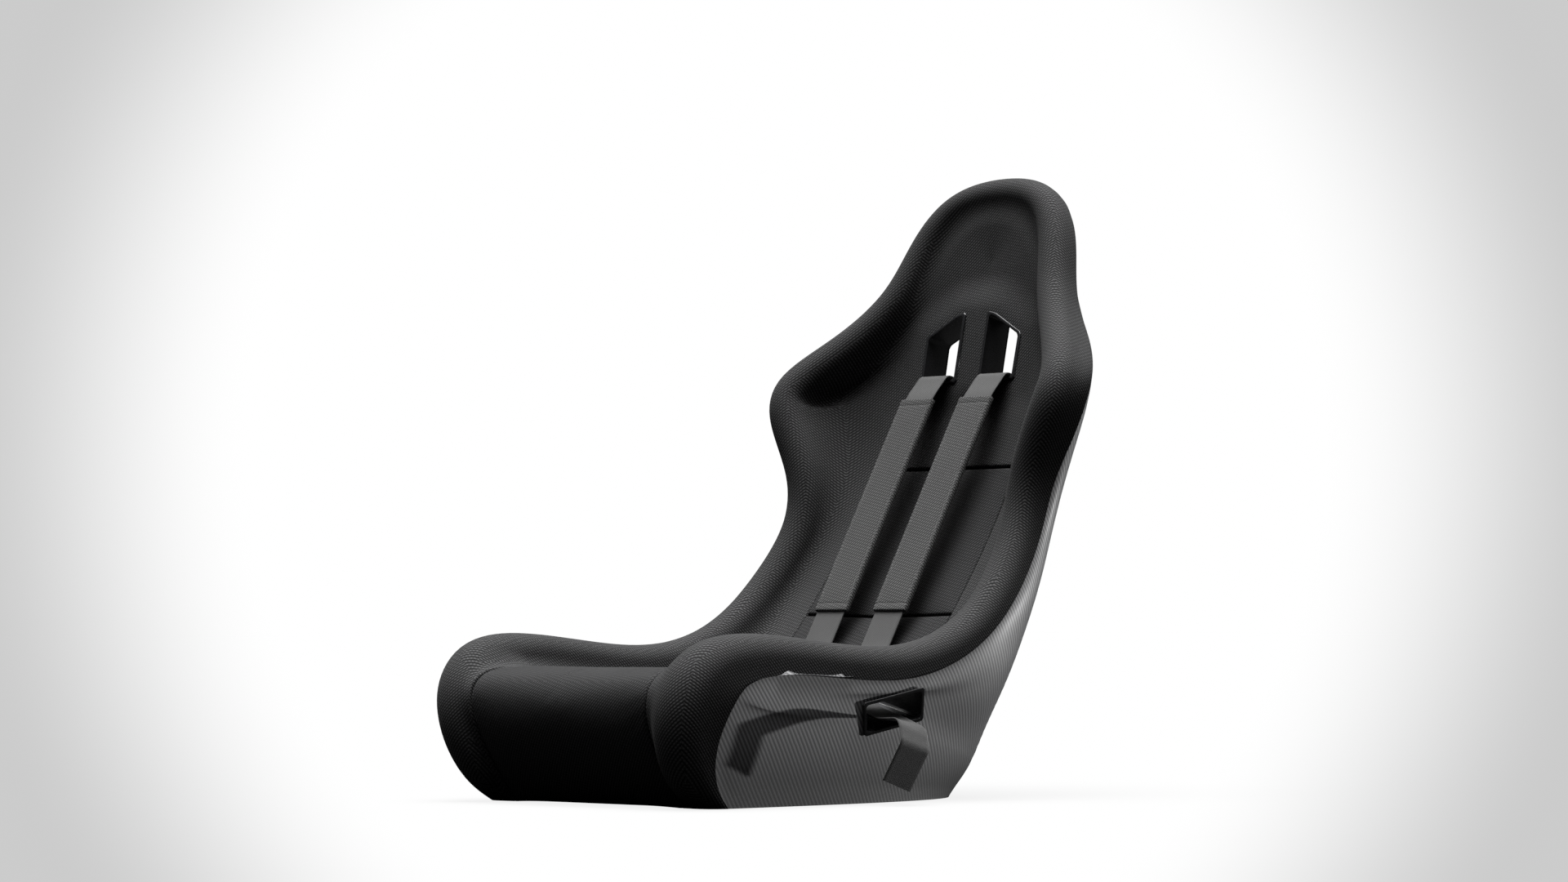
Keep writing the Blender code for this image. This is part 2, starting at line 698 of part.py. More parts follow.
def shoulder_strap(name, side, mat):
    corners = shoulder_line(side)
    path = rounded_path(corners, (0.008, 0.006, 0.012, 0.012, 0.022))
    across = Vector((side, 0, 0))
    verts, faces = ribbon([(p, across) for p in path], WEB_WIDTH, WEB_THICK)
    return add_object(name, verts, faces, mat)


def shoulder_pad(name, side, mat):
    """Padded sleeve round the belt's straight run; it slides along the belt."""
    top = Vector((side * STRAP_X, *PAD_TOP))
    bottom = Vector((side * STRAP_X, *PAD_BOTTOM))
    along = (top - bottom).normalized()
    length = (top - bottom).length
    across = Vector((1, 0, 0))
    normal = across.cross(along).normalized()

    def loop(half_width, half_thick, at):
        corners = ((-1, -1), (1, -1), (1, 1), (-1, 1))
        soft = soften([(a * half_width, b * half_thick) for a, b in corners],
                      min(half_thick * 0.6, 2 * MM))
        return [bottom + along * at + across * a + normal * b for a, b in soft]

    hole_w = WEB_WIDTH / 2 + PAD_SLOT_CLEAR
    hole_t = WEB_THICK / 2 + PAD_SLOT_CLEAR
    full_w, full_t = PAD_WIDTH / 2, PAD_THICK / 2
    loops = [
        loop(hole_w, hole_t, 0.0),
        loop(hole_w, hole_t, length),
        loop(full_w - 1 * MM, full_t - 1 * MM, length),
        loop(full_w, full_t, length - 3 * MM),
        loop(full_w, full_t, 3 * MM),
        loop(full_w - 1 * MM, full_t - 1 * MM, 0.0),
    ]
    verts, faces = tube(loops)
    return add_object(name, verts, faces, mat, origin=(top + bottom) / 2)


def lap_strap(name, side, mat):
    """Lap belt: buckle tongue, out through the side slot, and a hanging tail."""
    def at(x, y, z):
        return Vector((side * x, y, z))

    flat = Vector((0, 1, 0))
    corners = [
        at(*LAP_END),
        at(0.120, 0.043, 0.1235),
        at(0.160, 0.041, 0.1245),
        at(LAP_OUTER_X, 0.034, 0.1040),
        at(LAP_OUTER_X + 0.046, 0.024, 0.0985),
        at(LAP_OUTER_X + 0.062, 0.012, 0.072),
        at(LAP_OUTER_X + 0.046, -0.004, 0.024),
    ]
    path = rounded_path(corners, (0.015, 0.012, 0.012, 0.014, 0.004), steps=3)
    stations = []
    outside = 0.0
    for k, p in enumerate(path):
        if k and abs(p.x) > LAP_OUTER_X:
            outside += (p - path[k - 1]).length
        hang = min(outside / LAP_TWIST_REACH, 1.0)
        across = (flat + Vector((0, 0, -LAP_TWIST * hang))).normalized()
        stations.append((p, across))
    verts, faces = ribbon(stations, WEB_WIDTH, WEB_THICK)
    return add_object(name, verts, faces, mat)


def tongue_frame(root, tip, across):
    """Map (across, along, up) of a latch plate to world, from its sewn end."""
    root, tip = Vector(root), Vector(tip)
    along = (tip - root).normalized()
    across = Vector(across)
    across = (across - along * across.dot(along)).normalized()
    up = across.cross(along)

    def place(a, b, d):
        return root + across * a + along * b + up * d

    return place, (tip - root).length


def tongue(name, root, tip, across, mat):
    """Flat steel latch plate with a slot that the belt is sewn through.

    Returns the cutter that makes its slot in the buckle.
    """
    place, length = tongue_frame(root, tip, across)
    wide, nose = TONGUE_WIDTH / 2, TONGUE_NOSE / 2
    outline = [(-wide, 0.0), (wide, 0.0), (wide, 0.014), (nose, 0.026), (nose, length),
               (-nose, length), (-nose, 0.026), (-wide, 0.014)]
    window = [(-wide + 0.004, 0.004), (wide - 0.004, 0.004), (wide - 0.004, 0.008),
              (-wide + 0.004, 0.008)]
    half = TONGUE_THICK / 2
    plate = add_object(name, *prism(outline, place, -half, half), mat)
    cut(plate, as_cutter(add_object("cutter_" + name, *prism(window, place, -4 * MM, 4 * MM), mat)))
    reach = nose + GAP
    pocket = [(-reach, 0.028), (reach, 0.028), (reach, length + GAP), (-reach, length + GAP)]
    solid = prism(pocket, place, -half - GAP, half + GAP)
    return as_cutter(add_object("pocket_" + name, *solid, mat))


def latch_plates(mat):
    """The four latch plates at the buckle, and the cutters for its pockets."""
    pockets = []
    heading = Vector((-0.36, -0.93, -0.03)).normalized()
    for label, side in (("left", 1), ("right", -1)):
        mirror = Vector((side, 1, 1))
        end = Vector(LAP_END) * mirror
        tip = Vector((side * (BUCKLE_R - TONGUE_INSIDE), BUCKLE_Y - 0.0013, BUCKLE_Z + 0.0050))
        root = end + (tip - end).normalized() * 1.6 * MM
        pockets.append(tongue("lap_tongue_" + label, root, tip, (0, 1, 0), mat))
        end = Vector(SHOULDER_END) * mirror
        aim = heading * mirror
        tip = end + aim * SHOULDER_TONGUE_REACH
        pockets.append(tongue("shoulder_tongue_" + label, end + aim * 1.6 * MM, tip, (1, 0, 0), mat))
    return pockets


def buckle_pieces(mats):
    """Rotary cam-lock buckle lying on the seat cushion."""
    base = Vector((0, BUCKLE_Y, BUCKLE_Z))
    up = Vector((0, 0, 1))
    body = [(0, 0.0150), (0.024, 0.0150), (BUCKLE_R, 0.0130), (BUCKLE_R, 0.0015),
            (BUCKLE_R - 0.0015, 0.0), (0, 0.0)]
    housing = add_object("buckle_body", *lathe(body, base, up, 32), mats["buckle"])
    for pocket in latch_plates(mats["steel"]):
        cut(housing, pocket)
    knob = [(0, 0.0235), (0.017, 0.0235), (0.0190, 0.0215), (0.0195, 0.0185),
            (0.0205, 0.0175), (0.0205, 0.0155), (0, 0.0155)]
    turned = lathe(knob, base, up, 36, lobes=3, lobe_depth=0.10, lobes_above=0.0180)
    add_object("buckle_knob", *turned, mats["knob"], origin=base)


# ---------------------------------------------------------------- assembly
def build():
    clear_scene()
    mats = {
        "composite": material("composite_twill", (0.12, 0.12, 0.13), 0.35),
        "trim": material("trim_fabric", (0.012, 0.012, 0.013), 0.9),
        "foam": material("bolster_foam", (0.09, 0.09, 0.09), 0.95),
        "tape": material("hook_and_loop", (0.02, 0.02, 0.02), 0.95),
        "bezel": material("bezel_plastic", (0.03, 0.03, 0.03), 0.4),
        "webbing": material("harness_webbing", (0.06, 0.06, 0.06), 0.85),
        "pad": material("belt_pad", (0.07, 0.07, 0.07), 0.9),
        "lap": material("lap_webbing", (0.01, 0.01, 0.01), 0.85),
        "steel": material("latch_steel", (0.55, 0.55, 0.56), 0.3, 1.0),
        "buckle": material("buckle_alloy", (0.18, 0.18, 0.19), 0.4, 0.8),
        "knob": material("buckle_knob", (0.03, 0.03, 0.03), 0.45),
        "insert": material("insert_steel", (0.5, 0.5, 0.5), 0.35, 1.0),
        "panel": material("base_panel", (0.03, 0.03, 0.03), 0.6),
    }
    skin = Skin()
    depths = shell_depths(skin)
    zero = np.zeros(len(depths))
    first_upper = next(i for i, t in enumerate(ROWS) if t > SEAM_UPPER)

    slots = {}
    for label, side in (("left", 1), ("right", -1)):
        slots["shoulder", side] = shoulder_slot_cutter("cutter_shoulder_" + label, side, mats["bezel"])
        slots["lap", side] = lap_slot_cutter("cutter_lap_" + label, side, mats["bezel"])

    shell = slab("shell", skin, lambda i, j, s: True, depths, depths + SHELL_THICK, mats["composite"])
    for cutter in slots.values():
        cut(shell, cutter)

    def in_cover(i, j, s):
        if j >= COL_TRIM:
            return False
        return j >= COL_WALL or i >= first_upper

    cover = slab("cover", skin, in_cover, zero, zero + COVER_THICK, mats["trim"])
    for cutter in slots.values():
        cut(cover, cutter)

    foam_top = zero + COVER_THICK + GAP
    foam_bottom = depths - GAP

    def side_foam(side):
        return lambda i, j, s: s == side and COL_WALL <= j < COL_OUT - 1 and i < first_upper - 1

    for label, side in (("left", 1), ("right", -1)):
        foam = slab("bolster_foam_" + label, skin, side_foam(side), foam_top, foam_bottom, mats["foam"])
        cut(foam, slots["lap", side])
    head = slab("head_foam", skin, lambda i, j, s: j < COL_OUT - 1 and i >= first_upper,
                foam_top, foam_bottom, mats["foam"])
    cut(head, slots["shoulder", 1])
    cut(head, slots["shoulder", -1])

    limits = {
        "seat_cushion": (0.0, SEAM_PAN_BACK),
        "back_cushion_lower": (SEAM_PAN_BACK, SEAM_LOWER),
        "back_cushion_middle": (SEAM_LOWER, SEAM_UPPER),
    }
    tape_top = depths - GAP - TAPE_THICK
    for name, (start, end) in limits.items():
        rows = [i for i, t in enumerate(ROWS) if start < t < end or t == start]
        first, last = rows[0], rows[-1]
        slab(name, skin, lambda i, j, s, a=first, b=last: j < COL_CUSHION_EDGE and a <= i < b,
             zero, tape_top - GAP, mats["trim"])
        middle = (first + last) // 2
        for label, side in (("left", 1), ("right", -1)):
            slab("tape_" + name + "_" + label, skin,
                 lambda i, j, s, m=middle, sd=side: s == sd and j == 1 and i in (m - 1, m),
                 tape_top, depths - GAP, mats["tape"])

    panel = base_panel(skin, depths, mats["panel"])
    for label, (x, y) in insert_places().items():
        base_insert("base_insert_" + label, x, y, mats["insert"])
        hole = lathe([(0, 0.03), (INSERT_BARREL_R + GAP, 0.03), (INSERT_BARREL_R + GAP, -0.03), (0, -0.03)],
                     (x, y, 0), (0, 0, 1), 20)
        cut(panel, as_cutter(add_object("cutter_insert_" + label, *hole, mats["panel"])))

    for label, side in (("left", 1), ("right", -1)):
        shoulder_bezel("shoulder_slot_bezel_" + label, side, mats["bezel"])
        rear_ring("shoulder_slot_ring_" + label, side, mats["bezel"])
        lap_bezel("lap_slot_bezel_" + label, side, mats["bezel"])
        shoulder_strap("shoulder_strap_" + label, side, mats["webbing"])
        shoulder_pad("shoulder_pad_" + label, side, mats["pad"])
        lap_strap("lap_strap_" + label, side, mats["lap"])
    buckle_pieces(mats)


build()
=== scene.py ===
import math

import bmesh
import bpy
import numpy as np
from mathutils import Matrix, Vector
from mathutils.kdtree import KDTree


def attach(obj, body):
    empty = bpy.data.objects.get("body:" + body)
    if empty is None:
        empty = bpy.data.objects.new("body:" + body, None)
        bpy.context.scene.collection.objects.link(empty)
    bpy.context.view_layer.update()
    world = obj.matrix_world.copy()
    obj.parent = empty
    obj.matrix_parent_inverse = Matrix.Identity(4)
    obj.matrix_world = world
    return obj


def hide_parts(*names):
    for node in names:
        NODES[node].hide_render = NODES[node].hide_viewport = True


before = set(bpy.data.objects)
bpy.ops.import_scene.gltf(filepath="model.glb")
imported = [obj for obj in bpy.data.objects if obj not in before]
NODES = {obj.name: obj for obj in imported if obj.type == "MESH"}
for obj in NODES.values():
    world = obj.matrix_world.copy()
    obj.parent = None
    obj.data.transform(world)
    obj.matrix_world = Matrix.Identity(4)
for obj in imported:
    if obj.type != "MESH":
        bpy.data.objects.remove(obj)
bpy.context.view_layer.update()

MM = 0.001
SIDES = (("left", 1), ("right", -1))
MIRROR = np.array([-1.0, 1.0, 1.0])

# --- driving lines (mm)
#   spine y, z | rim crest x, y, z | rim facing (deg) | crease place (share of rim x),
#   crease rise (share of rim height) | roll radius | rear centre y, z |
#   fullness of the rear wall | cover overlap past the roll
STATIONS = (
    (-238,   0,  184, -240,   0,  180, 0.83, 0.03,  24,  292,   0,  3.0,   4),   # floor edge
    (-266,  40,  184, -282,  22,  180, 0.83, 0.03,  30,  300,  10,  3.0,   8),
    (-296,  88,  192, -313,  78,  180, 0.82, 0.03,  36,  308,  18,  3.0,  32),
    (-311, 138,  202, -317, 146,  166, 0.80, 0.03,  37,  315,  27,  3.0,  45),   # front roll
    (-276, 172,  209, -272, 203,  132, 0.76, 0.04,  34,  322,  38,  3.0,  46),
    (-185, 160,  213, -188, 212,  100, 0.70, 0.05,  28,  326,  48,  3.0,  40),   # thigh
    (-80,  126,  216,  -85, 201,   88, 0.66, 0.05,  26,  328,  60,  3.0,  32),
    (30,   102,  218,   27, 189,   92, 0.63, 0.05,  25,  328,  76,  3.0,  22),   # pan
    (122,  112,  218,  114, 200,  103, 0.61, 0.05,  25,  328,  96,  3.0,  14),
    (195,  165,  217,  185, 233,  120, 0.61, 0.05,  25,  330, 125,  3.0,  12),   # hip
    (258,  240,  211,  240, 287,  135, 0.62, 0.06,  25,  340, 170,  3.0,  12),
    (325,  330,  197,  286, 354,  152, 0.65, 0.08,  25,  368, 240,  2.9,  16),   # waist
    (383,  423,  199,  293, 422,  170, 0.64, 0.10,  25,  406, 345,  2.8,  24),
    (415,  500,  235,  289, 484,  182, 0.50, 0.10,  25,  434, 460,  2.8,  40),   # shoulder
    (430,  560,  251,  297, 540,  172, 0.40, 0.06,  24,  450, 545,  2.6,  44),
    (440,  610,  191,  362, 594,  160, 0.52, 0.06,  23,  464, 610,  2.5,  44),   # neck
    (450,  650,  136,  410, 658,  160, 0.66, 0.16,  22,  475, 655,  2.4,  42),
    (456,  678,  120,  438, 731,  160, 0.64, 0.32,  21,  486, 684,  2.3,  40),   # head side
    (460,  695,   82,  463, 789,  158, 0.62, 0.45,  21,  495, 700,  2.2,  40),
    (461,  700,    0,  474, 801,  156, 0.60, 0.50,  21,  500, 705,  2.0,  40),   # head top
)
LAST = len(STATIONS) - 1
SEAM_PAN_BACK = 8.30
SEAM_LOWER = 9.84
SEAM_UPPER = 12.03
SEAM_HALF_GAP = 0.015          # stations
COVER_THICK = 1.5 * MM
SHELL_THICK = 4.0 * MM
SHELL_UNDER_COVER = 1.8 * MM
TAPE_AND_AIR = 2.0 * MM        # the tape under a cushion and the air round it
PAD_DEPTH_STATIONS = (0, 9, 11, 12, 13, 16, 19)
PAD_DEPTH_MM = (28, 28, 24, 18, 12, 11, 12)
FLANK_LEAD = 0.03              # past the cover's overlap, where the wall leaves the hem's direction
EVEN_ROWS = 33                 # evenly spaced rows the outer wall is smoothed on
EVEN_ROUNDS = 9                # passes of that smoothing
HEM_EASE = 0.35                # share of the wall over which the smoothing comes in
HEM_MERGE = 0.30               # along the hip: share over which the hem's direction fades out
HEM_PULL = 0.6                 # how strongly the wall starts off that way
HIP_FADES = (2.6, 3.8, 9.0, 11.0)   # stations between which it does

# Belt slots, as in the CAD part.
SLOT_OUTLINE = ((24, -40), (80, -39), (81, 17), (33, 44), (24, 46))
SLOT_CENTRE_Z = 0.580
SLOT_LEAN = math.radians(12.0)
SLOT_FRONT_Y = 0.4275
SLOT_DEPTH = 0.0310
SLOT_WALL = 2.5 * MM
SLOT_STAND = -4.0 * MM
SLOT_LIP_THICK = 2.6 * MM
REAR_RING_AT = SLOT_DEPTH + 2.6 * MM
LAP_OUTLINE = ((-13, 121), (79, 138), (86, 105), (-3, 88))
LAP_OUTER_X = 0.2358
LAP_MID_Z = 0.113
LAP_LEAN = 0.27
LAP_RISE = 0.26
LAP_WALL = 2.5 * MM
SLOT_AIR = 0.3 * MM
HOLE_CORNER = 3 * MM           # how far the corners of a cut slot are taken off
LIP_FLAT = 0.008               # surfaces lie on a slot's lips this far round it
COVER_LIP_REACH = 0.050        # and blend back to their own shape over this distance
SHELL_LIP_REACH = 0.030
LIP_PULL = 0.5 * MM            # most that the side panel moves outwards to its bezel

# Harness, as in the CAD part.
WEB_WIDTH = 0.0500
WEB_THICK = 0.0020
STRAP_X = 0.053
PAD_TOP = (0.377, 0.514)
PAD_BOTTOM = (0.216, 0.236)
PAD_WIDTH = 0.058
PAD_THICK = 0.0084
STRAP_REAR_CLEAR = 0.0125
LAP_END = (0.0850, 0.0450, 0.1185)
LAP_TWIST = 0.30                     # the hanging tail's rear edge drops by this slope
LAP_TWIST_REACH = 0.050              # reached this far outside the panel
SHOULDER_END = (0.0360, 0.1160, 0.1275)
SHOULDER_BENDS = (0.008, 0.006, 0.012, 0.012, 0.022)
LAP_BENDS = (0.015, 0.012, 0.012, 0.014, 0.004)

# Sewn edges of the soft pieces.
ROLL_EDGE = 6.0 * MM           # rounding of the seat cushion's sides at the front roll
BACK_EDGE = 2.6 * MM           # and further back
SEAM_EDGE = 3.4 * MM           # rounding at the cross seams
COVER_EDGE = 2.4 * MM
HEM_EDGE = 1.1 * MM
PUFF_LIMIT = 3.5 * MM          # how far pressure may lift a cushion's face
PUFF_PRESSURE = 4.0
PUFF_FRAMES = 20
BELT_BEAD = 1.3 * MM           # rounding of a belt's selvedge
THREAD_LENGTH = 3.0 * MM
THREAD_WIDE = 0.55 * MM
THREAD_SIDES = 6
PAD_HEM = 0.010                # from a pad's end to its cross seam
PAD_CORNER = 2.6 * MM
PAD_SEAM_IN = 4.6 * MM         # from a pad's side to its long seam

# Weaves: lines per metre along the two axes of each projected face.
CLOTH_LINES = 212.0
COMPOSITE_LINES = (150.0, 116.0)
FOOT_SHADE = (0.0, 0.085)      # heights between which the side panel's darker foot fades out
PLAIN_HARDWARE = (             # CAD nodes that keep their shape: name, finish, edge rounding (mm)
    ("buckle_body", "buckle", 0.5), ("buckle_knob", "knob", 0.6), ("base_panel", "panel", 0.0))
PAIRED_HARDWARE = (            # the same for those with a left and a right one
    ("shoulder_slot_bezel_", "bezel", 0.8), ("shoulder_slot_ring_", "bezel", 0.6),
    ("lap_slot_bezel_", "bezel", 0.7), ("lap_tongue_", "steel", 0.45),
    ("shoulder_tongue_", "steel", 0.45), ("base_insert_front_", "insert", 0.3),
    ("base_insert_rear_", "insert", 0.3), ("tape_seat_cushion_", "tape", 0.0),
    ("tape_back_cushion_lower_", "tape", 0.0), ("tape_back_cushion_middle_", "tape", 0.0))

# Light: the floor glows for the camera only; a sun just below the horizon casts the belts' shadow.
FLOOR_GLOW = 0.86
FLOOR_ALBEDO = 0.035
FLOOR_SIZE = 60.0
TOP_LIGHT = 34.0
TOP_FOCUS = 15.0               # how narrow the overhead light is
SIDE_LIGHT = 0.10
KEY_POWER = 2.1
KEY_FROM = (0.30, 0.95, -0.10)
KEY_SOFTNESS = 1.2             # degrees across

CAMERA_PLACE = (4.2335, -4.0087, 0.222)
CAMERA_TURN = 46.0
CAMERA_LENS = 106.875
CAMERA_SHIFT_Y = 0.1156


# --- the lofted skin
def unit(v):
    return v / np.linalg.norm(v)


def unit_rows(v):
    return v / np.linalg.norm(v, axis=1)[:, None]


def smooth(share):
    """Ease a share between 0 and 1 in and out."""
    return share * share * (3 - 2 * share)


def arc_lengths(points):
    """Distance along a polyline at each of its points."""
    return np.r_[0, np.cumsum(np.linalg.norm(np.diff(points, axis=0), axis=1))]


def point_at(place, arc, points):
    """The x, y and z of a polyline at one or more distances along it."""
    return np.array([np.interp(place, arc, points[:, n]) for n in range(3)])


def station_line(k):
    """Driving line k, extended past both ends of the table."""
    table = np.array(STATIONS, float)
    if k < 0:
        return 2 * table[0] - table[-k]
    if k > LAST:
        line = table[2 * LAST - k].copy()
        line[2] = -line[2]
        return line
    return table[k]


def blend(t):
    """Uniform cubic B-spline through the driving lines at station t."""
    i = int(min(max(math.floor(t), 0), LAST - 1))
    u = t - i
    weights = ((1 - u) ** 3, 3 * u ** 3 - 6 * u * u + 4, -3 * u ** 3 + 3 * u * u + 3 * u + 1, u ** 3)
    return sum(w * station_line(i + n - 1) for n, w in enumerate(weights)) / 6


def station(t):
    """Spine, rim, roll frame and rear centre at station t, in metres."""
    line = blend(t)
    before = blend(max(t - 1e-3, 0))
    after = blend(min(t + 1e-3, LAST))
    spine = np.array([0, line[0], line[1]]) * MM
    rim = line[2:5] * MM
    along = np.array([-1.0, 0, 0]) if t >= LAST else unit(after[2:5] - before[2:5])
    lean = math.radians(line[5])
    facing = np.array([0, math.cos(lean), math.sin(lean)])
    near_floor = min(t / 2, 1.0)
    facing = unit(facing - facing.dot(along) * along * near_floor)
    outward = np.cross(along, facing)
    outward[2] *= near_floor
    crease = spine + np.array([line[6] * rim[0], 0, 0])
    crease = crease + line[7] * (rim - spine) * np.array([0, 1, 1])
    return {
        "spine": spine,
        "rim": rim,
        "facing": facing,
        "outward": unit(outward),
        "crease": crease,
        "radius": line[8] * MM,
        "rear": np.array([0, line[9], line[10]]) * MM,
        "fullness": line[11],
        "overlap": max(line[12], 2) * MM,
        "pitch": np.linalg.norm(after[0:2] - before[0:2]) * MM / 2e-3,
    }


def crease_gap(t):
    """Half the gap between a cushion and the cover: open at the front roll, closed behind."""
    return float(np.interp(t, (0, 4.2, 6.0), (1.1, 1.1, 0.25))) * MM


def cushion_edge(t):
    """Rounding of a cushion's side at station t."""
    return float(np.interp(t, (0, 2.0, 4.2, 6.5), (4.0 * MM, ROLL_EDGE, ROLL_EDGE, BACK_EDGE)))


def bezier(p0, p1, p2, p3, k):
    """Points of a cubic curve at shares k."""
    k = np.asarray(k, float)[:, None]
    return p0 * (1 - k) ** 3 + 3 * p1 * k * (1 - k) ** 2 + 3 * p2 * k * k * (1 - k) + p3 * k ** 3


def rounding(distance, radius):
    """How far an edge of this radius falls away, at a distance in from its end."""
    inside = np.clip(radius - distance, 0, radius)
    return radius - np.sqrt(np.maximum(radius ** 2 - inside ** 2, 0))


FILLET_STEPS = np.sin(np.linspace(0, math.pi / 2, 6))[1:]
ZONE_CUSHION = 22
ZONE_WALL = 14
ZONE_ROLL = 16
ZONE_LAP = 9
ZONE_FLANK = 34
N_CUSHION = ZONE_CUSHION + len(FILLET_STEPS)
N_WALL = len(FILLET_STEPS) + 1 + ZONE_WALL
AT_WALL = N_CUSHION
AT_ROLL = AT_WALL + N_WALL
AT_LAP = AT_ROLL + ZONE_ROLL
AT_FLANK = AT_LAP + ZONE_LAP
SHELL_JOIN = AT_ROLL + ZONE_ROLL // 2


def flank(s, start, wanted):
    """Points on the outer wall at the wanted arc lengths (negative: share of the rest)."""
    power = s["fullness"]
    lead = s["overlap"] + FLANK_LEAD
    angles = np.linspace(0, math.pi / 2, 241)
    scale = (np.cos(angles) ** power + np.sin(angles) ** power) ** (-1 / power)
    across = np.cos(angles) * scale
    back = np.sin(angles) * scale
    sweep = start + np.outer(back, s["rear"] - start)
    sweep[:, 0] = start[0] * across
    arc = arc_lengths(sweep)
    ease = smooth(np.clip(arc / lead, 0, 1))[:, None]
    straight = start - np.outer(np.minimum(arc, lead), s["facing"])
    path = straight * (1 - ease) + sweep * ease
    arc = arc_lengths(path)
    places = [w if w >= 0 else s["overlap"] - w * (arc[-1] - s["overlap"]) for w in wanted]
    return point_at(places, arc, path).T


def flank_shares():
    """Shares of the outer wall at which it has columns, closer together near the hem."""
    k = np.linspace(0, 1, ZONE_FLANK + 1)[1:]
    return k ** 1.25


def section(t):
    """The half section (x >= 0) at station t, and each point's depth and rounding."""
    s = station(t)
    spine, crease, radius = s["spine"], s["crease"], s["radius"]
    width = np.linalg.norm(crease - spine)
    across = (crease - spine) / width if width > 1e-9 else unit(s["rim"] - spine)
    small = min(1.0, width / 0.02)
    gap = crease_gap(t) * small
    edge = min(cushion_edge(t), 0.3 * width) + 1e-9
    usable = max(width - gap, 0.0)
    places = np.r_[np.linspace(0, usable - edge, ZONE_CUSHION), usable - edge + edge * FILLET_STEPS]
    cushion = spine + np.outer(places, across)
    fall_cushion = rounding(usable - places, edge)

    centre = s["rim"] - radius * s["facing"]
    height = (s["rim"] - crease).dot(s["facing"])
    start = math.radians(90 + 85 * min(max(height / (1.7 * radius), 0.05), 1.0))
    top = centre + radius * (math.cos(start) * s["outward"] + math.sin(start) * s["facing"])
    heading = math.sin(start) * s["outward"] - math.cos(start) * s["facing"]
    reach = np.linalg.norm(top - crease)
    handles = (crease, crease + across * reach * 0.38, top - heading * reach * 0.42, top)
    first = gap / reach
    fillet = np.r_[first + COVER_EDGE / reach * (1 - FILLET_STEPS[::-1]), first + COVER_EDGE / reach]
    shares = np.r_[fillet, np.linspace(fillet[-1], 1, ZONE_WALL + 1)[1:]]
    wall = bezier(*handles, shares)
    fall_wall = rounding((shares - first) * reach, COVER_EDGE)

    turn = np.linspace(0, 1, ZONE_ROLL + 1)[1:]
    angles = start * (1 - turn)[:, None]
    roll = centre + radius * (np.cos(angles) * s["outward"] + np.sin(angles) * s["facing"])

    lap = s["overlap"] - np.r_[s["overlap"] * (1 - np.linspace(0, 1, ZONE_LAP - 3)[1:]) * 0.96
                               + HEM_EDGE, HEM_EDGE * 0.55, HEM_EDGE * 0.2, HEM_EDGE * 0.05, 0.0]
    lap = np.sort(np.clip(lap, s["overlap"] * 0.02, None))
    outer = flank(s, roll[-1], np.r_[lap, -flank_shares()])

    middle = np.interp(t, PAD_DEPTH_STATIONS, PAD_DEPTH_MM) * MM
    k = np.clip((shares - first) / (1 - first), 0, 1)
    depth_wall = middle * (1 - k) + 0.80 * radius * k
    depth_roll = radius * np.interp(turn, (0, 0.2, 0.4, 0.6, 0.8, 1), (0.80, 0.74, 0.66, 0.55, 0.38, 0))
    depth = np.r_[np.full(N_CUSHION, middle), depth_wall,
                  np.maximum(depth_roll, SHELL_UNDER_COVER), np.full(len(outer), SHELL_UNDER_COVER)]
    fall = np.r_[fall_cushion, fall_wall, np.zeros(ZONE_ROLL),
                 rounding(s["overlap"] - lap, HEM_EDGE), np.zeros(ZONE_FLANK)]
    return np.vstack([cushion, wall, roll, outer]), depth, fall


def relax_flank(grid, rows):
    """Even out the outer wall along its length, easing in just past the cover's hem.

    The smoothing runs on evenly spaced rows; a spline carries its shift to the fine ones.
    At the hip the wall first follows the cover's own direction, so it never folds back.
    """
    raw = np.array([section(t)[0][AT_FLANK - 1:] for t in np.linspace(0, LAST, EVEN_ROWS)])
    even = raw.copy()
    for _ in range(EVEN_ROUNDS):
        above = np.concatenate([even[2:], even[-2:-1] * MIRROR])
        even[1:] = 0.5 * even[1:] + 0.25 * (even[:-1] + above)
        even[-1, :, 0] = 0.0
    shift = even - raw
    shift = np.concatenate([-shift[1:2], shift, shift[-2:-1] * MIRROR])
    place = np.array(rows) / LAST * (EVEN_ROWS - 1)
    k = np.minimum(place.astype(int), EVEN_ROWS - 2)
    f = (place - k)[:, None, None]
    fine = ((1 - f) ** 3 * shift[k] + (3 * f ** 3 - 6 * f ** 2 + 4) * shift[k + 1]
            + (-3 * f ** 3 + 3 * f ** 2 + 3 * f + 1) * shift[k + 2] + f ** 3 * shift[k + 3]) / 6
    wall = grid[:, AT_FLANK - 1:] + fine
    shares = np.r_[0, flank_shares()]
    merge = int(np.argmax(shares >= HEM_MERGE))
    start, end = grid[:, AT_FLANK - 1].copy(), wall[:, merge].copy()
    reach = np.linalg.norm(end - start, axis=1)[:, None]
    leave = -np.array([station(t)["facing"] for t in rows]) * reach * HEM_PULL
    arrive = unit_rows(wall[:, merge + 1] - wall[:, merge - 1]) * reach
    ease = smooth(np.clip(shares / HEM_EASE, 0, 1))
    eased = grid[:, AT_FLANK - 1:] + fine * ease[None, :, None]
    for j in range(merge):
        u = shares[j] / shares[merge]
        wall[:, j] = (start * (2 * u ** 3 - 3 * u ** 2 + 1) + leave * (u ** 3 - 2 * u ** 2 + u)
                      + end * (3 * u ** 2 - 2 * u ** 3) + arrive * (u ** 3 - u ** 2))
    hip = smooth(np.interp(rows, HIP_FADES, (0, 1, 1, 0)))[:, None, None]
    grid[:, AT_FLANK - 1:] = wall * hip + eased * (1 - hip)


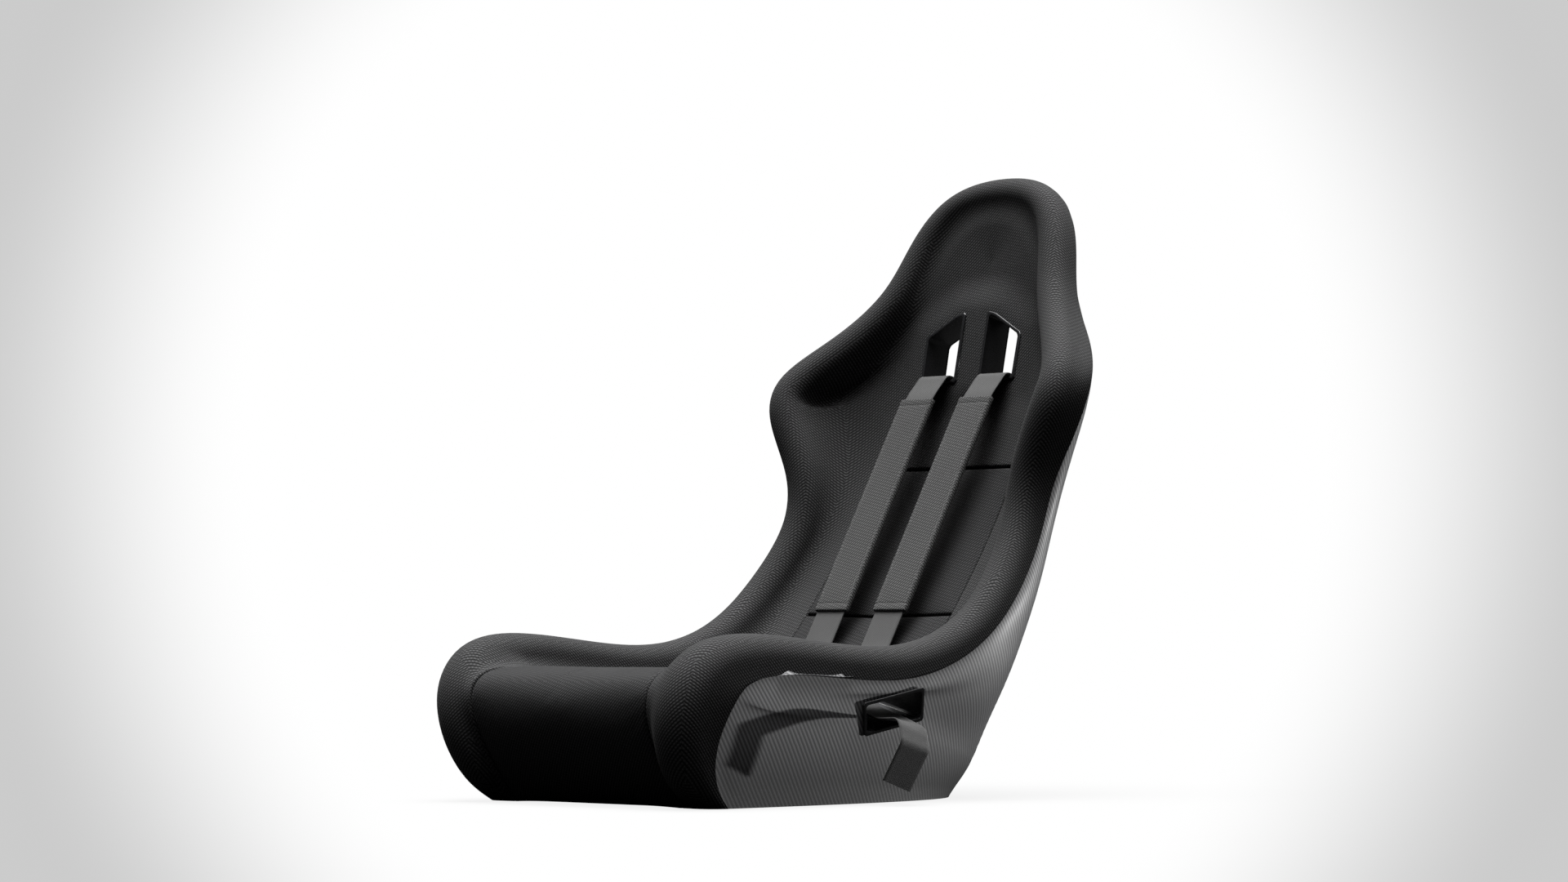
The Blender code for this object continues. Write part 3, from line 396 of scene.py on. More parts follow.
def seam_rows(seam, side):
    """Row stations that round off an edge at a seam; side -1 is below it, +1 above."""
    edge = SEAM_EDGE / station(seam)["pitch"]
    steps = np.r_[0, FILLET_STEPS]
    return [seam + side * (SEAM_HALF_GAP + edge * (1 - k)) for k in steps]


class Sheet:
    """Both halves of the skin as a grid: points, normals, depth and edge rounding."""

    def __init__(self, rows, columns=None, evened=False):
        made = [section(t) for t in rows]
        grid = np.array([m[0] for m in made])
        if rows[0] == 0:
            grid[0, :, 2] = 0.0
        if evened:
            relax_flank(grid, rows)
        depth = np.array([m[1] for m in made])
        fall = np.array([m[2] for m in made])
        if columns is not None:
            grid, depth, fall = grid[:, :columns], depth[:, :columns], fall[:, :columns]
        flip = grid[:, :0:-1] * MIRROR
        half = grid.shape[1]
        self.rows = np.array(rows)
        self.points = np.concatenate([flip, grid], axis=1)
        self.depth = np.concatenate([depth[:, :0:-1], depth], axis=1)
        self.fall = np.concatenate([fall[:, :0:-1], fall], axis=1)
        self.column = np.r_[np.arange(half - 1, 0, -1), np.arange(half)]
        self.normals = self.find_normals(whole=columns is None)

    def find_normals(self, whole):
        """Outward normals; a whole sheet wraps over the head and round to its own mirror image."""
        p = self.points
        below = 2 * p[:1] - p[1:2]
        above = p[-2:-1, ::-1] if whole else 2 * p[-1:] - p[-2:-1]
        tall = np.concatenate([below, p, above])
        if whole:
            wide = np.concatenate([p[:, 1:2] * MIRROR, p, p[:, -2:-1] * MIRROR], axis=1)
        else:
            wide = np.concatenate([2 * p[:, :1] - p[:, 1:2], p, 2 * p[:, -1:] - p[:, -2:-1]], axis=1)
        along = self.directions(tall)
        across = self.directions(wide.transpose(1, 0, 2)).transpose(1, 0, 2)
        n = np.cross(across, along)
        middle = np.abs(p[:, :, 0]) < 1e-7
        n[middle, 0] = 0.0
        if self.rows[0] == 0:
            n[0, :, 2] = 0.0
        return n / np.maximum(np.linalg.norm(n, axis=2), 1e-12)[:, :, None]

    @staticmethod
    def directions(tall):
        """Mean of the unit steps before and after each row."""
        step = np.diff(tall, axis=0)
        size = np.linalg.norm(step, axis=2)[:, :, None]
        step = np.where(size > 1e-9, step / np.maximum(size, 1e-12), 0)
        return step[:-1] + step[1:]


# --- meshes
def new_mesh_object(name, verts, faces, mat, sharp=50.0, weld=True):
    """An object from vertices and faces, with its normals outwards."""
    mesh = bpy.data.meshes.new(name)
    mesh.from_pydata([tuple(v) for v in verts], [], [list(f) for f in faces])
    bm = bmesh.new()
    bm.from_mesh(mesh)
    if weld:
        bmesh.ops.remove_doubles(bm, verts=bm.verts, dist=2e-6)
    bmesh.ops.dissolve_degenerate(bm, edges=bm.edges, dist=1e-7)
    bmesh.ops.recalc_face_normals(bm, faces=bm.faces)
    bm.to_mesh(mesh)
    bm.free()
    finish_shading(mesh, sharp)
    mesh.materials.append(mat)
    obj = bpy.data.objects.new(name, mesh)
    bpy.context.scene.collection.objects.link(obj)
    return obj


def finish_shading(mesh, sharp):
    """Smooth shading, except at edges sharper than this many degrees."""
    mesh.polygons.foreach_set("use_smooth", [True] * len(mesh.polygons))
    mesh.set_sharp_from_angle(angle=math.radians(sharp))


def slab(name, sheet, keep, top, bottom, mat, sharp=50.0):
    """A closed solid under the kept quads of a sheet, between two offsets from its skin.

    keep is a mask of quads; top and bottom are grids of positions.
    """
    rows, cols = sheet.points.shape[:2]
    keys = np.round(sheet.points.reshape(-1, 3) / 1e-6).astype(np.int64)
    _, same = np.unique(keys, axis=0, return_inverse=True)
    same = same.ravel()
    index = same.reshape(rows, cols)
    place = np.zeros(same.max() + 1, int)
    place[same] = np.arange(len(same))
    quads = np.stack([index[:-1, :-1], index[:-1, 1:], index[1:, 1:], index[1:, :-1]], axis=2)[keep]
    count = same.max() + 1
    upper = top.reshape(-1, 3)[place]
    lower = bottom.reshape(-1, 3)[place]
    faces = []
    edges = {}
    for q in quads.tolist():
        ring = [v for n, v in enumerate(q) if v != q[n - 1]]
        if len(ring) < 3:
            continue
        faces.append(ring)
        faces.append([v + count for v in reversed(ring)])
        for a, b in zip(ring, ring[1:] + ring[:1]):
            edges[a, b] = True
    for a, b in edges:
        if (b, a) not in edges:
            faces.append([b, a, a + count, b + count])
    used = sorted({v for f in faces for v in f})
    renumber = {v: n for n, v in enumerate(used)}
    both = np.vstack([upper, lower])
    return new_mesh_object(name, both[used], [[renumber[v] for v in f] for f in faces], mat, sharp)


def tube_faces(base, rings, sides, closed=False):
    """Quads between successive rings of vertices that start at index base."""
    faces = []
    for k in range(rings if closed else rings - 1):
        low, high = base + k * sides, base + (k + 1) % rings * sides
        for n in range(sides):
            m = (n + 1) % sides
            faces.append([low + n, low + m, high + m, high + n])
    return faces


def adopt(piece, body, slot, *nodes):
    """Put a piece on its body, in place of these CAD nodes. The slot argument is not used."""
    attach(piece, body)
    if nodes:
        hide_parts(*nodes)


def prism(outline, place, low, high):
    """Vertices and faces of an outline swept from one depth to another."""
    n = len(outline)
    verts = [place(a, b, low) for a, b in outline] + [place(a, b, high) for a, b in outline]
    faces = [list(range(n))[::-1], list(range(n, 2 * n))]
    faces += [[i, (i + 1) % n, n + (i + 1) % n, n + i] for i in range(n)]
    return verts, faces


def cut_slots(obj):
    """Cut the belt slots out of an object with exact Booleans, and apply them."""
    cutters = []
    for name, (verts, faces) in slot_cutters():
        cutter = new_mesh_object(name, verts, faces, obj.data.materials[0])
        mod = obj.modifiers.new(name, "BOOLEAN")
        mod.operation = "DIFFERENCE"
        mod.solver = "EXACT"
        mod.object = cutter
        cutters.append(cutter)
    graph = bpy.context.evaluated_depsgraph_get()
    old = obj.data
    made = bpy.data.meshes.new_from_object(obj.evaluated_get(graph))
    obj.modifiers.clear()
    obj.data = made
    bpy.data.meshes.remove(old)
    finish_shading(made, 50.0)
    for cutter in cutters:
        bpy.data.objects.remove(cutter, do_unlink=True)


def rounded_path(corners, radii, steps=10):
    """Polyline through corners with each inner corner rounded off."""
    points = [Vector(corners[0])]
    for k in range(1, len(corners) - 1):
        here = Vector(corners[k])
        back = (Vector(corners[k - 1]) - here).normalized()
        ahead = (Vector(corners[k + 1]) - here).normalized()
        size = radii[k - 1]
        for n in range(steps + 1):
            u = n / steps
            points.append(here + back * size * (1 - u) ** 2 + ahead * size * u ** 2)
    points.append(Vector(corners[-1]))
    return points


def even_path(points, spacing):
    """The same polyline with vertices at an even spacing, corners softened slightly."""
    pts = np.array([tuple(p) for p in points])
    arc = arc_lengths(pts)
    count = max(int(round(arc[-1] / spacing)), 2)
    at = np.linspace(0, arc[-1], count + 1)
    return [Vector(point_at(a, arc, pts)) for a in at]


# --- belt slots
def grow(outline, amount):
    """A convex outline moved outwards by amount on every side."""
    n = len(outline)
    centre = Vector((sum(p[0] for p in outline) / n, sum(p[1] for p in outline) / n))
    lines = []
    for i in range(n):
        a, b = Vector(outline[i]), Vector(outline[(i + 1) % n])
        normal = Vector(((b - a).y, -(b - a).x)).normalized()
        if normal.dot((a + b) / 2 - centre) < 0:
            normal = -normal
        lines.append((normal, normal.dot(a) + amount))
    grown = []
    for i in range(n):
        (n1, d1), (n2, d2) = lines[i - 1], lines[i]
        det = n1.x * n2.y - n1.y * n2.x
        grown.append(((d1 * n2.y - d2 * n1.y) / det, (n1.x * d2 - n2.x * d1) / det))
    return grown


def soften(outline, size):
    """Take the corners off an outline."""
    out = []
    n = len(outline)
    for i in range(n):
        here = Vector(outline[i])
        back = (Vector(outline[i - 1]) - here).normalized()
        ahead = (Vector(outline[(i + 1) % n]) - here).normalized()
        out += [tuple(here + back * size), tuple(here + ahead * size)]
    return out


def outline_m(outline_mm):
    return [(a * MM, b * MM) for a, b in outline_mm]


def slot_place(side):
    """Map (across, up, depth) of a shoulder slot to world; depth runs rearwards."""
    up = Vector((0, math.sin(SLOT_LEAN), math.cos(SLOT_LEAN)))
    rear = Vector((0, math.cos(SLOT_LEAN), -math.sin(SLOT_LEAN)))
    origin = Vector((0, SLOT_FRONT_Y, SLOT_CENTRE_Z))

    return lambda a, b, d: origin + Vector((side * a, 0, 0)) + up * b + rear * d


def lap_place(side):
    """Map (y, z on the outside, depth) of a lap slot to world; depth runs inwards."""
    def place(a, b, d):
        outside = LAP_OUTER_X + LAP_LEAN * (b - LAP_MID_Z)
        return Vector((side * (outside - d), a, b + LAP_RISE * d))

    return place


def slot_cutters():
    """Name and solid of each belt slot, a little larger than the bezel's own walls."""
    shoulder = soften(grow(outline_m(SLOT_OUTLINE), SLOT_WALL + SLOT_AIR), HOLE_CORNER)
    lap = soften(grow(outline_m(LAP_OUTLINE), LAP_WALL + SLOT_AIR), HOLE_CORNER)
    cutters = []
    for label, side in SIDES:
        cutters.append(("cut_shoulder_" + label, prism(shoulder, slot_place(side), -0.06, 0.10)))
        cutters.append(("cut_lap_" + label, prism(lap, lap_place(side), -0.03, 0.115)))
    return cutters


def lip_weight(far, reach):
    """1 beside a slot, fading to 0 over reach."""
    return smooth(1 - np.clip((far - LIP_FLAT) / reach, 0, 1))


def outside_distance(a, b, outline):
    """Distance of points (a, b) outside a convex outline; zero within it."""
    n = len(outline)
    centre = np.mean(outline, axis=0)
    worst = np.full(np.shape(a), -1e9)
    for i in range(n):
        p, q = np.array(outline[i]), np.array(outline[(i + 1) % n])
        normal = np.array([(q - p)[1], -(q - p)[0]])
        normal = normal / np.linalg.norm(normal)
        if normal.dot((p + q) / 2 - centre) < 0:
            normal = -normal
        worst = np.maximum(worst, (a - p[0]) * normal[0] + (b - p[1]) * normal[1])
    return np.maximum(worst, 0)


def meet_shoulder_lips(points, front, target, reach):
    """Bring a surface to the plane of the shoulder slots' lips, fading out around them."""
    up = np.array([0, math.sin(SLOT_LEAN), math.cos(SLOT_LEAN)])
    rear = np.array([0, math.cos(SLOT_LEAN), -math.sin(SLOT_LEAN)])
    rel = points - np.array([0, SLOT_FRONT_Y, SLOT_CENTRE_Z])
    depth = rel @ rear
    aside = np.maximum(np.abs(rel[..., 0]), SLOT_OUTLINE[0][0] * MM)
    far = outside_distance(aside, rel @ up, outline_m(SLOT_OUTLINE))
    near = (depth < SLOT_DEPTH / 2) if front else (depth > SLOT_DEPTH / 2) & (depth < 0.09)
    weight = lip_weight(far, reach) * near
    return points + (weight * (target - depth))[..., None] * rear


def meet_lap_lips(points, reach):
    """Bring the side panel to the plane of the lap slots' lips, fading out around them."""
    x, y, z = points[..., 0], points[..., 1], points[..., 2]
    far = outside_distance(y, z, outline_m(LAP_OUTLINE))
    weight = lip_weight(far, reach) * (np.abs(x) > 0.20)
    plane = LAP_OUTER_X + LAP_LEAN * (z - LAP_MID_Z) - 0.1 * MM
    outward = np.minimum(plane - np.abs(x), LIP_PULL)
    out = points.copy()
    out[..., 0] = x + weight * np.sign(x) * outward
    return out


# --- node materials
class Graph:
    """Short calls that build one Principled material out of nodes."""

    def __init__(self, name):
        self.mat = bpy.data.materials.new(name)
        self.mat.use_nodes = True
        self.tree = self.mat.node_tree
        self.bsdf = self.tree.nodes["Principled BSDF"]
        self.coords = self.tree.nodes.new("ShaderNodeTexCoord")

    def feed(self, socket, value):
        if isinstance(value, bpy.types.NodeSocket):
            self.tree.links.new(value, socket)
        elif hasattr(value, "__len__") and len(value) == 3 and socket.type == "RGBA":
            socket.default_value = (*value, 1.0)
        else:
            socket.default_value = value

    def node(self, kind, inputs=None, **settings):
        made = self.tree.nodes.new("ShaderNode" + kind)
        for key, value in settings.items():
            setattr(made, key, value)
        for key, value in (inputs or {}).items():
            self.feed(made.inputs[key], value)
        return made

    def math(self, operation, a, b=0.0, c=0.0):
        return self.node("Math", {0: a, 1: b, 2: c}, operation=operation).outputs[0]

    def add(self, a, b):
        return self.math("ADD", a, b)

    def mul(self, a, b):
        return self.math("MULTIPLY", a, b)

    def sub(self, a, b):
        return self.math("SUBTRACT", a, b)

    def wave(self, phase):
        """0 to 1 and back, once per unit of phase."""
        turn = self.mul(phase, 2 * math.pi)
        return self.math("MULTIPLY_ADD", self.math("COSINE", turn), 0.5, 0.5)

    def ramp(self, value, low, high, out_low=0.0, out_high=1.0, smooth=False):
        kind = "SMOOTHSTEP" if smooth else "LINEAR"
        inputs = {"Value": value, "From Min": low, "From Max": high, "To Min": out_low, "To Max": out_high}
        return self.node("MapRange", inputs, interpolation_type=kind).outputs[0]

    def split(self, vector):
        return list(self.node("SeparateXYZ", {0: vector}).outputs)

    def stagger(self, phase):
        """Half a step on from one rib to the next."""
        return self.mul(self.math("FLOOR", self.add(phase, 0.5)), 0.5)

    def sharp_edge(self, high):
        """0 on flat faces, 1 on edges sharper than high."""
        return self.ramp(self.node("NewGeometry").outputs["Pointiness"], 0.52, high)

    def seen(self, others, camera):
        """The second shader for camera rays and the first for all others."""
        ray = self.node("LightPath").outputs["Is Camera Ray"]
        return self.node("MixShader", {0: ray, 1: others, 2: camera}).outputs[0]

    def noise(self, scale, detail=2.0, stretch=None):
        vector = self.coords.outputs["Object"]
        if stretch:
            vector = self.node("Mapping", {"Vector": vector, "Scale": stretch}).outputs[0]
        inputs = {"Vector": vector, "Scale": scale, "Detail": detail}
        return self.node("TexNoise", inputs).outputs[0]

    def mix(self, share, a, b):
        made = self.node("Mix", data_type="RGBA")
        self.feed(made.inputs[0], share)
        self.feed(made.inputs[6], a)
        self.feed(made.inputs[7], b)
        return made.outputs[2]

    def bump(self, height, distance, strength=1.0, under=None):
        inputs = {"Height": height, "Distance": distance, "Strength": strength}
        if under is not None:
            inputs["Normal"] = under
        return self.node("Bump", inputs).outputs[0]

    def finish(self, **sockets):
        for key, value in sockets.items():
            self.feed(self.bsdf.inputs[key.replace("_", " ")], value)
        return self.mat

    def box_faces(self):
        """Coordinates (u, v) on the face a point projects to, and +1 or -1 for its lean."""
        x, y, z = self.split(self.coords.outputs["Object"])
        nx, ny, nz = [self.math("ABSOLUTE", n) for n in self.split(self.coords.outputs["Normal"])]
        is_x = self.math("GREATER_THAN", nx, self.math("MAXIMUM", ny, nz))
        is_z = self.math("GREATER_THAN", nz, self.math("MAXIMUM", nx, ny))
        u = self.add(x, self.mul(is_x, self.sub(y, x)))
        v = self.add(z, self.mul(is_z, self.sub(y, z)))
        lean = self.math("MULTIPLY_ADD", is_x, -2.0, 1.0)
        return self.mul(u, lean), v


def twill_height(g, u, v, lines_u, lines_v, along_ratio):
    """Diagonal ribs with stitches along them, each rib's stitches set half a step on."""
    phase = g.sub(g.mul(u, lines_u), g.mul(v, lines_v))
    rib = g.wave(phase)
    along = g.mul(g.add(g.mul(u, lines_u), g.mul(v, lines_v)), along_ratio)
    return rib, g.wave(g.add(along, g.stagger(phase)))


def cloth_material(name, dark, light, sheen):
    """Technical twill: pale rib tops over dark grooves, with fuzz and slow unevenness."""
    g = Graph(name)
    u, v = g.box_faces()
    rib, stitch = twill_height(g, u, v, CLOTH_LINES, CLOTH_LINES, 0.75)
    height = g.mul(rib, g.math("MULTIPLY_ADD", stitch, 0.55, 0.45))
    fuzz = g.noise(1400.0, 2.0)
    slow = g.noise(9.0, 3.0)
    tone = g.mul(height, g.ramp(fuzz, 0.3, 0.7, 0.75, 1.2))
    tone = g.mul(tone, g.ramp(slow, 0.35, 0.65, 0.92, 1.08))
    colour = g.mix(tone, dark, light)
    normal = g.bump(height, 0.5 * MM, 0.55)
    normal = g.bump(fuzz, 0.15 * MM, 0.25, normal)
    return g.finish(
        Base_Color=colour, Roughness=g.ramp(height, 0, 1, 0.92, 0.76),
        Specular_IOR_Level=0.18, Sheen_Weight=sheen, Sheen_Roughness=0.45,
        Sheen_Tint=(0.9, 0.9, 0.9), Normal=normal)


def composite_material():
    """Moulded twill laminate under lacquer: broad diagonal tows, finer threads across.

    The foot is darker because little light reaches it; that shade is part of the colour here.
    """
    g = Graph("composite_twill")
    u, v = g.box_faces()
    rib, stitch = twill_height(g, u, v, *COMPOSITE_LINES, 1.5)
    tow = g.ramp(rib, 0.18, 0.85, smooth=True)
    threads = g.noise(900.0, 2.0, (1.0, 1.0, 0.25))
    resin = g.noise(14.0, 4.0)
    tone = g.mul(tow, g.ramp(stitch, 0, 1, 0.86, 1.0))
    tone = g.mul(tone, g.ramp(threads, 0.3, 0.7, 0.86, 1.1))
    colour = g.mix(tone, (0.045, 0.045, 0.047), (0.150, 0.150, 0.154))
    colour = g.mix(g.ramp(resin, 0.3, 0.7, 0.0, 0.16), colour, (0.03, 0.03, 0.032))
    _, _, height = g.split(g.coords.outputs["Object"])
    shade = g.ramp(height, *FOOT_SHADE, 0.80, 0.0, smooth=True)
    colour = g.mix(shade, colour, (0.006, 0.006, 0.006))
    normal = g.bump(tow, 0.20 * MM, 0.30)
    coat = g.bump(resin, 0.4 * MM, 0.08)
    return g.finish(
        Base_Color=colour, Roughness=g.ramp(tone, 0, 1, 0.62, 0.54), Metallic=0.0,
        Specular_IOR_Level=0.3, Coat_Weight=0.10, Coat_Roughness=g.ramp(resin, 0.3, 0.7, 0.30, 0.38),
        Coat_Normal=coat, Normal=normal)


def webbing_material(name, dark, light):
    """Woven belt: lengthwise ribs with staggered picks and a plain selvedge."""
    g = Graph(name)
    u, v, _ = g.split(g.coords.outputs["UV"])
    across = g.mul(u, 620.0)
    rib = g.wave(across)
    pick = g.wave(g.add(g.mul(v, 430.0), g.stagger(across)))
    far = g.math("ABSOLUTE", u)
    selvedge = g.ramp(far, WEB_WIDTH / 2 - 3.2 * MM, WEB_WIDTH / 2 - 2.6 * MM)
    height = g.mul(g.math("MULTIPLY_ADD", rib, 0.6, 0.4), g.math("MULTIPLY_ADD", pick, 0.5, 0.5))
    fibre = g.noise(2200.0, 2.0)
    tone = g.mul(height, g.ramp(fibre, 0.3, 0.7, 0.75, 1.15))
    tone = g.mul(tone, g.math("MULTIPLY_ADD", selvedge, -0.25, 1.0))
    tone = g.mul(tone, g.ramp(g.noise(16.0, 3.0), 0.35, 0.65, 0.90, 1.08))
    colour = g.mix(tone, dark, light)
    normal = g.bump(height, 0.30 * MM, 0.6)
    return g.finish(
        Base_Color=colour, Roughness=g.ramp(height, 0, 1, 0.80, 0.62),
        Specular_IOR_Level=0.25, Sheen_Weight=0.25, Sheen_Roughness=0.4, Normal=normal)


def moulded_material(name, colour, rough):
    """Satin moulded plastic: fine spark grain, with a painted highlight that makes it paler along its
    edges, and smoother there.
    """
    g = Graph(name)
    fine = g.noise(900.0, 3.0)
    slow = g.noise(22.0, 3.0)
    # painted highlight: patches along sharp edges are painted paler, standing in for light caught on the
    # rims
    edge_highlight = g.mul(g.sharp_edge(0.60), g.ramp(g.noise(70.0, 4.0), 0.40, 0.62, 0.15, 1.0))
    highlight_tone = tuple(min(c * 2.1 + 0.01, 1.0) for c in colour)
    body = g.mix(g.ramp(slow, 0.3, 0.7, 0.0, 0.30), colour, tuple(c * 0.65 for c in colour))
    tone = g.mix(g.mul(edge_highlight, 0.7), body, highlight_tone)
    roughness = g.sub(g.ramp(fine, 0.3, 0.7, rough - 0.05, rough + 0.08), g.mul(edge_highlight, 0.08))
    return g.finish(
        Base_Color=tone, Roughness=roughness, Specular_IOR_Level=0.45,
        Normal=g.bump(fine, 0.08 * MM, 0.35))


def steel_material(name, colour, rough, stretch):
    """Brushed plate: streaks one way, faint smudges, brighter worn edges."""
    g = Graph(name)
    streak = g.noise(260.0, 4.0, stretch)
    smudge = g.noise(35.0, 3.0)
    dull = tuple(c * 0.72 for c in colour)
    tone = g.mix(g.ramp(streak, 0.3, 0.7), dull, colour)
    tone = g.mix(g.mul(g.sharp_edge(0.58), 0.6), tone, tuple(min(c * 1.25, 1.0) for c in colour))
    roughness = g.add(g.ramp(streak, 0.3, 0.7, rough - 0.08, rough + 0.10),
                      g.ramp(smudge, 0.4, 0.7, 0.0, 0.10))
    return g.finish(Base_Color=tone, Metallic=1.0, Roughness=roughness,
                    Normal=g.bump(streak, 0.05 * MM, 0.3))


def turned_material(name, colour, centre, rough):
    """Machined and anodised alloy: fine rings about the buckle's axis, worn edges."""
    g = Graph(name)
    x, y, _ = g.split(g.coords.outputs["Object"])
    dx = g.sub(x, centre[0])
    dy = g.sub(y, centre[1])
    radius = g.math("SQRT", g.add(g.mul(dx, dx), g.mul(dy, dy)))
    ring = g.wave(g.mul(radius, 1500.0))
    grain = g.noise(1200.0, 3.0)
    worn = g.mul(g.sharp_edge(0.58), g.ramp(g.noise(90.0, 4.0), 0.40, 0.60, 0.2, 1.0))
    tone = g.mix(g.ramp(grain, 0.3, 0.7), tuple(c * 0.8 for c in colour), colour)
    tone = g.mix(g.mul(worn, 0.7), tone, (0.42, 0.42, 0.43))
    height = g.add(g.mul(ring, 0.6), g.mul(grain, 0.4))
    roughness = g.ramp(height, 0, 1, rough + 0.08, rough - 0.04)
    return g.finish(Base_Color=tone, Metallic=0.85, Roughness=roughness,
                    Normal=g.bump(height, 0.05 * MM, 0.35))


def nap_material(name):
    """Hook-and-loop tape: matted loops."""
    g = Graph(name)
    loops = g.node("TexVoronoi", {"Vector": g.coords.outputs["Object"], "Scale": 900.0})
    tone = g.ramp(loops.outputs["Distance"], 0.0, 0.7)
    colour = g.mix(tone, (0.035, 0.035, 0.036), (0.008, 0.008, 0.008))
    return g.finish(Base_Color=colour, Roughness=0.95, Sheen_Weight=0.4,
                    Normal=g.bump(tone, 0.5 * MM, 0.8))


def board_material(name):
    """Bonded base board: pressed glass-fibre strands in dark resin."""
    g = Graph(name)
    strands = g.noise(240.0, 5.0, (1.0, 0.18, 1.0))
    crossing = g.noise(240.0, 5.0, (0.18, 1.0, 1.0))
    weave = g.math("MAXIMUM", strands, crossing)
    colour = g.mix(g.ramp(weave, 0.45, 0.70), (0.018, 0.018, 0.019), (0.060, 0.060, 0.058))
    return g.finish(Base_Color=colour, Roughness=g.ramp(weave, 0.4, 0.7, 0.50, 0.68),
                    Normal=g.bump(weave, 0.15 * MM, 0.5))


def thread_material(name, colour):
    """Twisted sewing thread."""
    g = Graph(name)
    twist = g.noise(2600.0, 2.0, (1.0, 1.0, 0.4))
    tone = g.mix(g.ramp(twist, 0.35, 0.65), tuple(c * 0.55 for c in colour), colour)
    return g.finish(Base_Color=tone, Roughness=0.7, Sheen_Weight=0.3,
                    Normal=g.bump(twist, 0.1 * MM, 0.6))


def make_materials():
    return {
        "cover": cloth_material("cover_twill", (0.0008, 0.0008, 0.0009), (0.052, 0.052, 0.053), 0.02),
        "cushion": cloth_material("cushion_twill", (0.0005, 0.0005, 0.0006), (0.034, 0.034, 0.035), 0.02),
        "pad": cloth_material("pad_twill", (0.009, 0.009, 0.009), (0.094, 0.094, 0.094), 0.05),
        "composite": composite_material(),
        "webbing": webbing_material("harness_webbing", (0.008, 0.008, 0.008), (0.066, 0.066, 0.066)),
        # painted shade: the lap belts are the harness webbing painted about ten times darker, for the
        # shade they hang in
        "lap": webbing_material("lap_webbing", (0.0006, 0.0006, 0.0006), (0.006, 0.006, 0.006)),
        "bezel": moulded_material("bezel_plastic", (0.014, 0.014, 0.015), 0.30),
        "steel": steel_material("latch_steel", (0.58, 0.58, 0.59), 0.32, (1.0, 14.0, 1.0)),
        "insert": steel_material("insert_steel", (0.50, 0.50, 0.48), 0.38, (1.0, 1.0, 12.0)),
        "buckle": turned_material("buckle_alloy", (0.10, 0.10, 0.105), (0.0, 0.050), 0.38),
        "knob": moulded_material("buckle_knob", (0.022, 0.022, 0.023), 0.42),
        "tape": nap_material("hook_and_loop"),
        "panel": board_material("base_board"),
        "thread": thread_material("thread_grey", (0.075, 0.075, 0.075)),
    }


# --- cover and shell
def main_rows():
    """Row stations of the cover and the shell, with the cover's rounded edge at the upper seam."""
    plain = np.concatenate([np.linspace(0, 1.2, 8), np.linspace(1.3, 12.4, 84),
                            np.linspace(12.5, 17.6, 44), np.linspace(17.7, LAST, 22)])
    upper = seam_rows(SEAM_UPPER, 1)
    below = [SEAM_UPPER - SEAM_HALF_GAP]
    clear = [t for t in plain if not below[0] - 0.03 < t < max(upper) + 0.02]
    return sorted(clear + upper + below)


def quad_columns(sheet):
    """Column number of each strip of quads, counted from the middle outwards."""
    return np.minimum(sheet.column[:-1], sheet.column[1:])


def build_cover(sheet, mats):
    """The one-piece cover with its foam: side bolsters, rim, wings and headrest."""
    rows = sheet.rows
    first_upper = int(np.argmax(rows > SEAM_UPPER))
    columns = quad_columns(sheet)[None, :]
    row = np.arange(len(rows) - 1)[:, None]
    keep = (columns < AT_FLANK - 1) & ((columns >= AT_WALL) | (row >= first_upper))

    fade = smooth(np.clip((SEAM_UPPER - rows) / 0.30, 0, 1))[:, None]
    inner = sheet.column[None, :] < AT_ROLL
    fall = np.where(inner, sheet.fall * fade, sheet.fall)
    pitch = station(SEAM_UPPER)["pitch"]
    edge = rounding((rows - rows[first_upper]) * pitch, SEAM_EDGE) * (rows >= rows[first_upper])
    fall = np.where(sheet.column[None, :] < AT_WALL, fall + edge[:, None], fall)

    under = np.where(sheet.column[None, :] >= AT_LAP, COVER_THICK, sheet.depth - 0.3 * MM)
    top = sheet.points - sheet.normals * fall[:, :, None]
    top = meet_shoulder_lips(top, True, SLOT_STAND + 0.05 * MM, COVER_LIP_REACH)
    bottom = sheet.points - sheet.normals * under[:, :, None]
    cover = slab("seat_cover", sheet, keep, top, bottom, mats["cover"])
    cut_slots(cover)
    adopt(cover, "seat", "trim", "cover", "bolster_foam_left", "bolster_foam_right", "head_foam")


def build_shell(sheet, mats):
    """The moulded shell in two mouldings that meet under the rim: liner and outer."""
    shape = (len(sheet.rows) - 1, len(sheet.column) - 1)
    columns = np.broadcast_to(quad_columns(sheet)[None, :], shape)
    skin = sheet.points - sheet.normals * sheet.depth[:, :, None]
    top = meet_lap_lips(skin, SHELL_LIP_REACH)
    # Only the outer moulding reaches back to the rear rings; the liner keeps its own depth.
    outer = sheet.column >= SHELL_JOIN
    ring = REAR_RING_AT - 0.1 * MM
    top[:, outer] = meet_shoulder_lips(top[:, outer], False, ring, SHELL_LIP_REACH)
    bottom = top - sheet.normals * SHELL_THICK
    for name, keep in (("seat_shell", columns >= SHELL_JOIN), ("seat_shell_liner", columns < SHELL_JOIN)):
        shell = slab(name, sheet, keep, top, bottom, mats["composite"])
        cut_slots(shell)
        adopt(shell, "seat", "composite", "shell")


